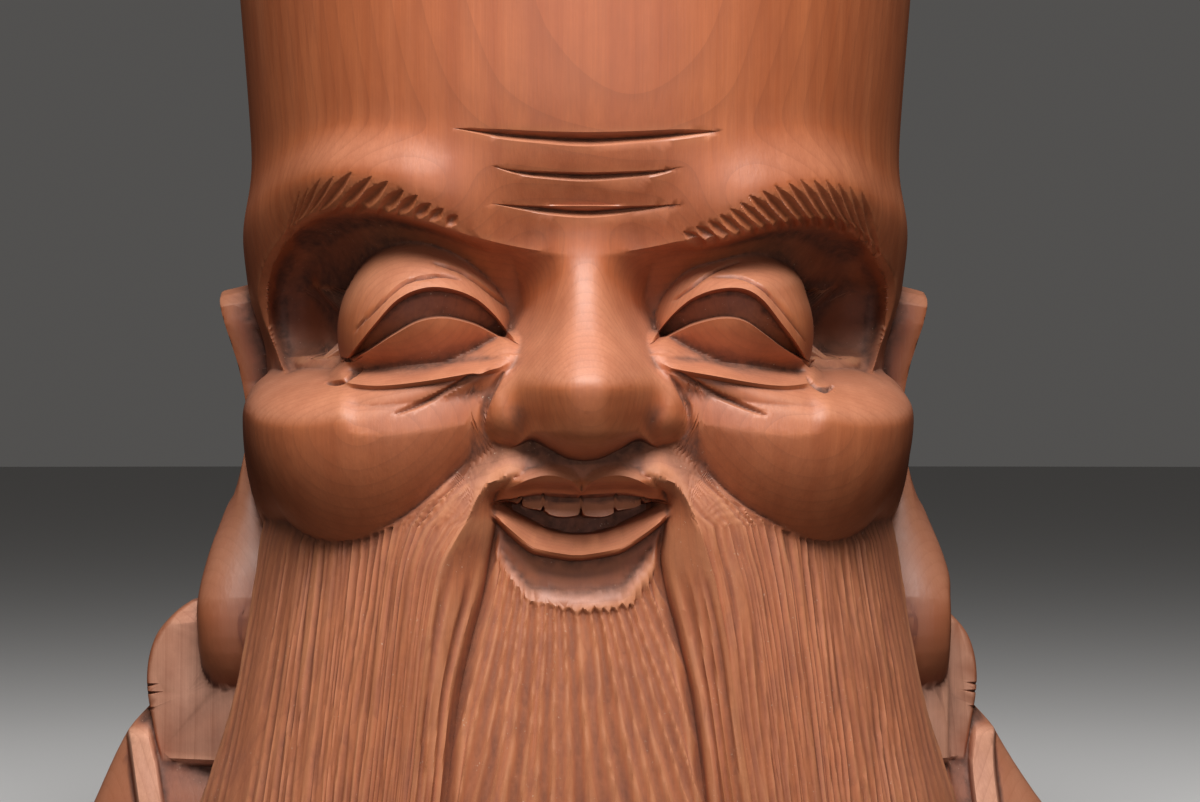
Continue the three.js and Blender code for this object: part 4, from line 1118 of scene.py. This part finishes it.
def stained_wood_and_painted_light(n, place, streak, hair, flat):
    """Stained wood: streaks, patches, painted shade low at the back, paler in the hair and on fresh cuts,
    and paler on upward faces with settled dust and painted sheen.
    """
    patch = n.noise(place, (38, 38, 16))
    spot = n.add("ShaderNodeSeparateXYZ", {0: place}).outputs
    # Painted shade: darker low at the sides and back, away from the lights
    shaded = n.times(n.ramp(spot[1], -0.03, -0.012), n.ramp(spot[2], 0.085, 0.07))
    stain = n.ramp(n.noise(place, (480, 480, 170), 3, 0.6), 0.45, 0.65, 0, 0.5)
    # Upward faces made paler: settled dust and painted sheen
    up = n.add("ShaderNodeSeparateXYZ", {0: n.add("ShaderNodeNewGeometry").outputs["Normal"]}).outputs[2]
    return n.layered(DEEP_STREAK, [
        (n.ramp(streak, 0.3, 0.7), PALE_STREAK),
        (n.ramp(patch, 0.35, 0.7, 0, 0.5), RED_PATCH),
        (n.times(shaded, 0.85), PAINTED_SHADE_LOW_BACK),
        (n.times(hair, 0.65), HAIR_WOOD),
        (n.times(hair, stain), HAIR_STAIN),
        (n.times(flat, 0.9), FRESH_CUT),
        (n.ramp(up, 0.12, 0.5, 0, 0.4), UPWARD_DUST_AND_SHEEN),
    ])


def wood_material():
    """The stained wood with its grain, worn edges and the dust lodged in the cuts, darkened by dirt
    and painted shade in its cuts and hollows.
    """
    n = Nodes("carved_wood")
    place = n.add("ShaderNodeTexCoord").outputs["Object"]
    fibre = n.noise(place, (3400, 3400, 90), 3, 0.6)
    streak = n.noise(place, (420, 420, 7), 3, 0.55)
    mottle = n.noise(place, (170, 170, 110), 4, 0.65)
    blotch = n.noise(place, (900, 900, 900), 3, 0.6)
    hair, flat, worn, grime_and_shade = (n.attribute(name) for name in ("hair", "flat", "worn", "grime_and_shade"))
    bare = n.math("MAXIMUM", hair, flat)

    # Near-black layer: dirt in the cuts and painted shade in the hollows
    soil_and_shade = n.times(n.times(grime_and_shade, n.ramp(blotch, 0.25, 0.7, 0.5, 1)), n.ramp(hair, 0, 1, 1, 0.6))
    crumbs = n.ramp(n.noise(place, (2900, 2900, 2900), 2, 0.7), 0.68, 0.72)
    settled = n.ramp(n.noise(place, (260, 260, 260)), 0.5, 0.62)
    lodged = n.math("MAXIMUM", n.ramp(grime_and_shade, 0.2, 0.6), n.times(hair, 0.8))
    tone = n.layered(stained_wood_and_painted_light(n, place, streak, hair, flat), [
        (n.times(late_wood(n, place), 0.26), LATE_WOOD),
        (n.ramp(fibre, 0.3, 0.7, 0.2, 0), DARK_FIBRE),
        (n.times(worn, n.ramp(hair, 0, 1, 0.15, 0.35)), WORN_EDGE),
        (n.ramp(mottle, 0.35, 0.68, 0, 0.3), DARK_MOTTLE),
        (n.times(soil_and_shade, 0.85), SOIL_AND_PAINTED_SHADE),
        (n.times(n.times(n.times(crumbs, settled), lodged), 0.7), DUST),
    ])
    n.plug(tone, n.shader.inputs["Base Color"])

    rough = n.plus(n.ramp(streak, 0.3, 0.7, 0.46, 0.56), n.times(soil_and_shade, 0.3))
    n.plug(n.plus(rough, n.times(bare, 0.22)), n.shader.inputs["Roughness"])
    n.shader.inputs["Specular IOR Level"].default_value = WOOD_SPECULAR
    height = n.plus(n.times(fibre, 0.5), n.times(streak, 0.8))
    height = n.plus(height, n.times(blotch, n.times(bare, 0.8)))
    height = n.plus(height, n.times(mottle, 1.5))
    bump = n.add("ShaderNodeBump", {"Height": height, "Strength": 0.45, "Distance": 0.0001})
    n.plug(bump.outputs[0], n.shader.inputs["Normal"])
    return n.material


def floor_material():
    """Plain pale paper."""
    n = Nodes("floor_paper")
    n.shader.inputs["Base Color"].default_value = FLOOR_COLOUR
    n.shader.inputs["Roughness"].default_value = FLOOR_ROUGHNESS
    return n.material


def build_floor():
    """A broad pale disc under the bust."""
    mesh = bpy.data.meshes.new("floor")
    turns = np.linspace(0, 2 * math.pi, 96, endpoint=False)
    ring = [(FLOOR_REACH * math.cos(turn), FLOOR_REACH * math.sin(turn), 0) for turn in turns]
    mesh.from_pydata(ring, [], [list(range(len(ring)))])
    mesh.materials.append(floor_material())
    floor = bpy.data.objects.new("floor", mesh)
    floor.visible_diffuse = False
    floor.visible_glossy = False
    bpy.context.collection.objects.link(floor)
    return floor


def area_light(name, place, target, size, power):
    """A rectangular lamp turned toward the target."""
    lamp = bpy.data.lights.new(name, "AREA")
    lamp.shape = "RECTANGLE"
    lamp.size, lamp.size_y = size
    lamp.energy = power
    holder = bpy.data.objects.new(name, lamp)
    holder.location = place
    holder.rotation_euler = (Vector(target) - Vector(place)).to_track_quat("-Z", "Y").to_euler()
    bpy.context.collection.objects.link(holder)


def light_scene(middle):
    world = bpy.data.worlds.new("studio")
    world.use_nodes = True
    background = world.node_tree.nodes["Background"]
    background.inputs["Color"].default_value = SKY_COLOUR
    background.inputs["Strength"].default_value = SKY_STRENGTH
    bpy.context.scene.view_settings.view_transform = "Standard"
    bpy.context.scene.world = world
    world.cycles_visibility.glossy = False
    for name, place, size, power in LIGHTS:
        area_light(name, place, middle, size, power)


def place_camera(axis_y, unit):
    """A long lens level with the tip of the nose, a little off the middle on the bust's own right."""
    target = Vector((AIM[0] * unit, axis_y + AIM[1] * unit, AIM[2] * unit))
    camera = bpy.data.cameras.new("camera")
    camera.lens = LENS
    camera.sensor_width = SENSOR
    holder = bpy.data.objects.new("camera", camera)
    holder.location = target + CAMERA_DISTANCE * Vector((math.sin(CAMERA_TURN), -math.cos(CAMERA_TURN), 0))
    holder.rotation_euler = (math.pi / 2, 0, CAMERA_TURN)
    bpy.context.collection.objects.link(holder)
    bpy.context.scene.camera = holder


def main():
    bust = build_bust()
    bust.data.materials.append(wood_material())
    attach(bust, "root")
    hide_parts(NODE)
    build_floor()
    low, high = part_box(NODE)
    unit = (high[2] - low[2]) / CROWN
    axis_y = high[1] - AXIS_FROM_BACK * unit
    light_scene((0, 0, LIT_HEIGHT * unit))
    place_camera(axis_y, unit)


main()
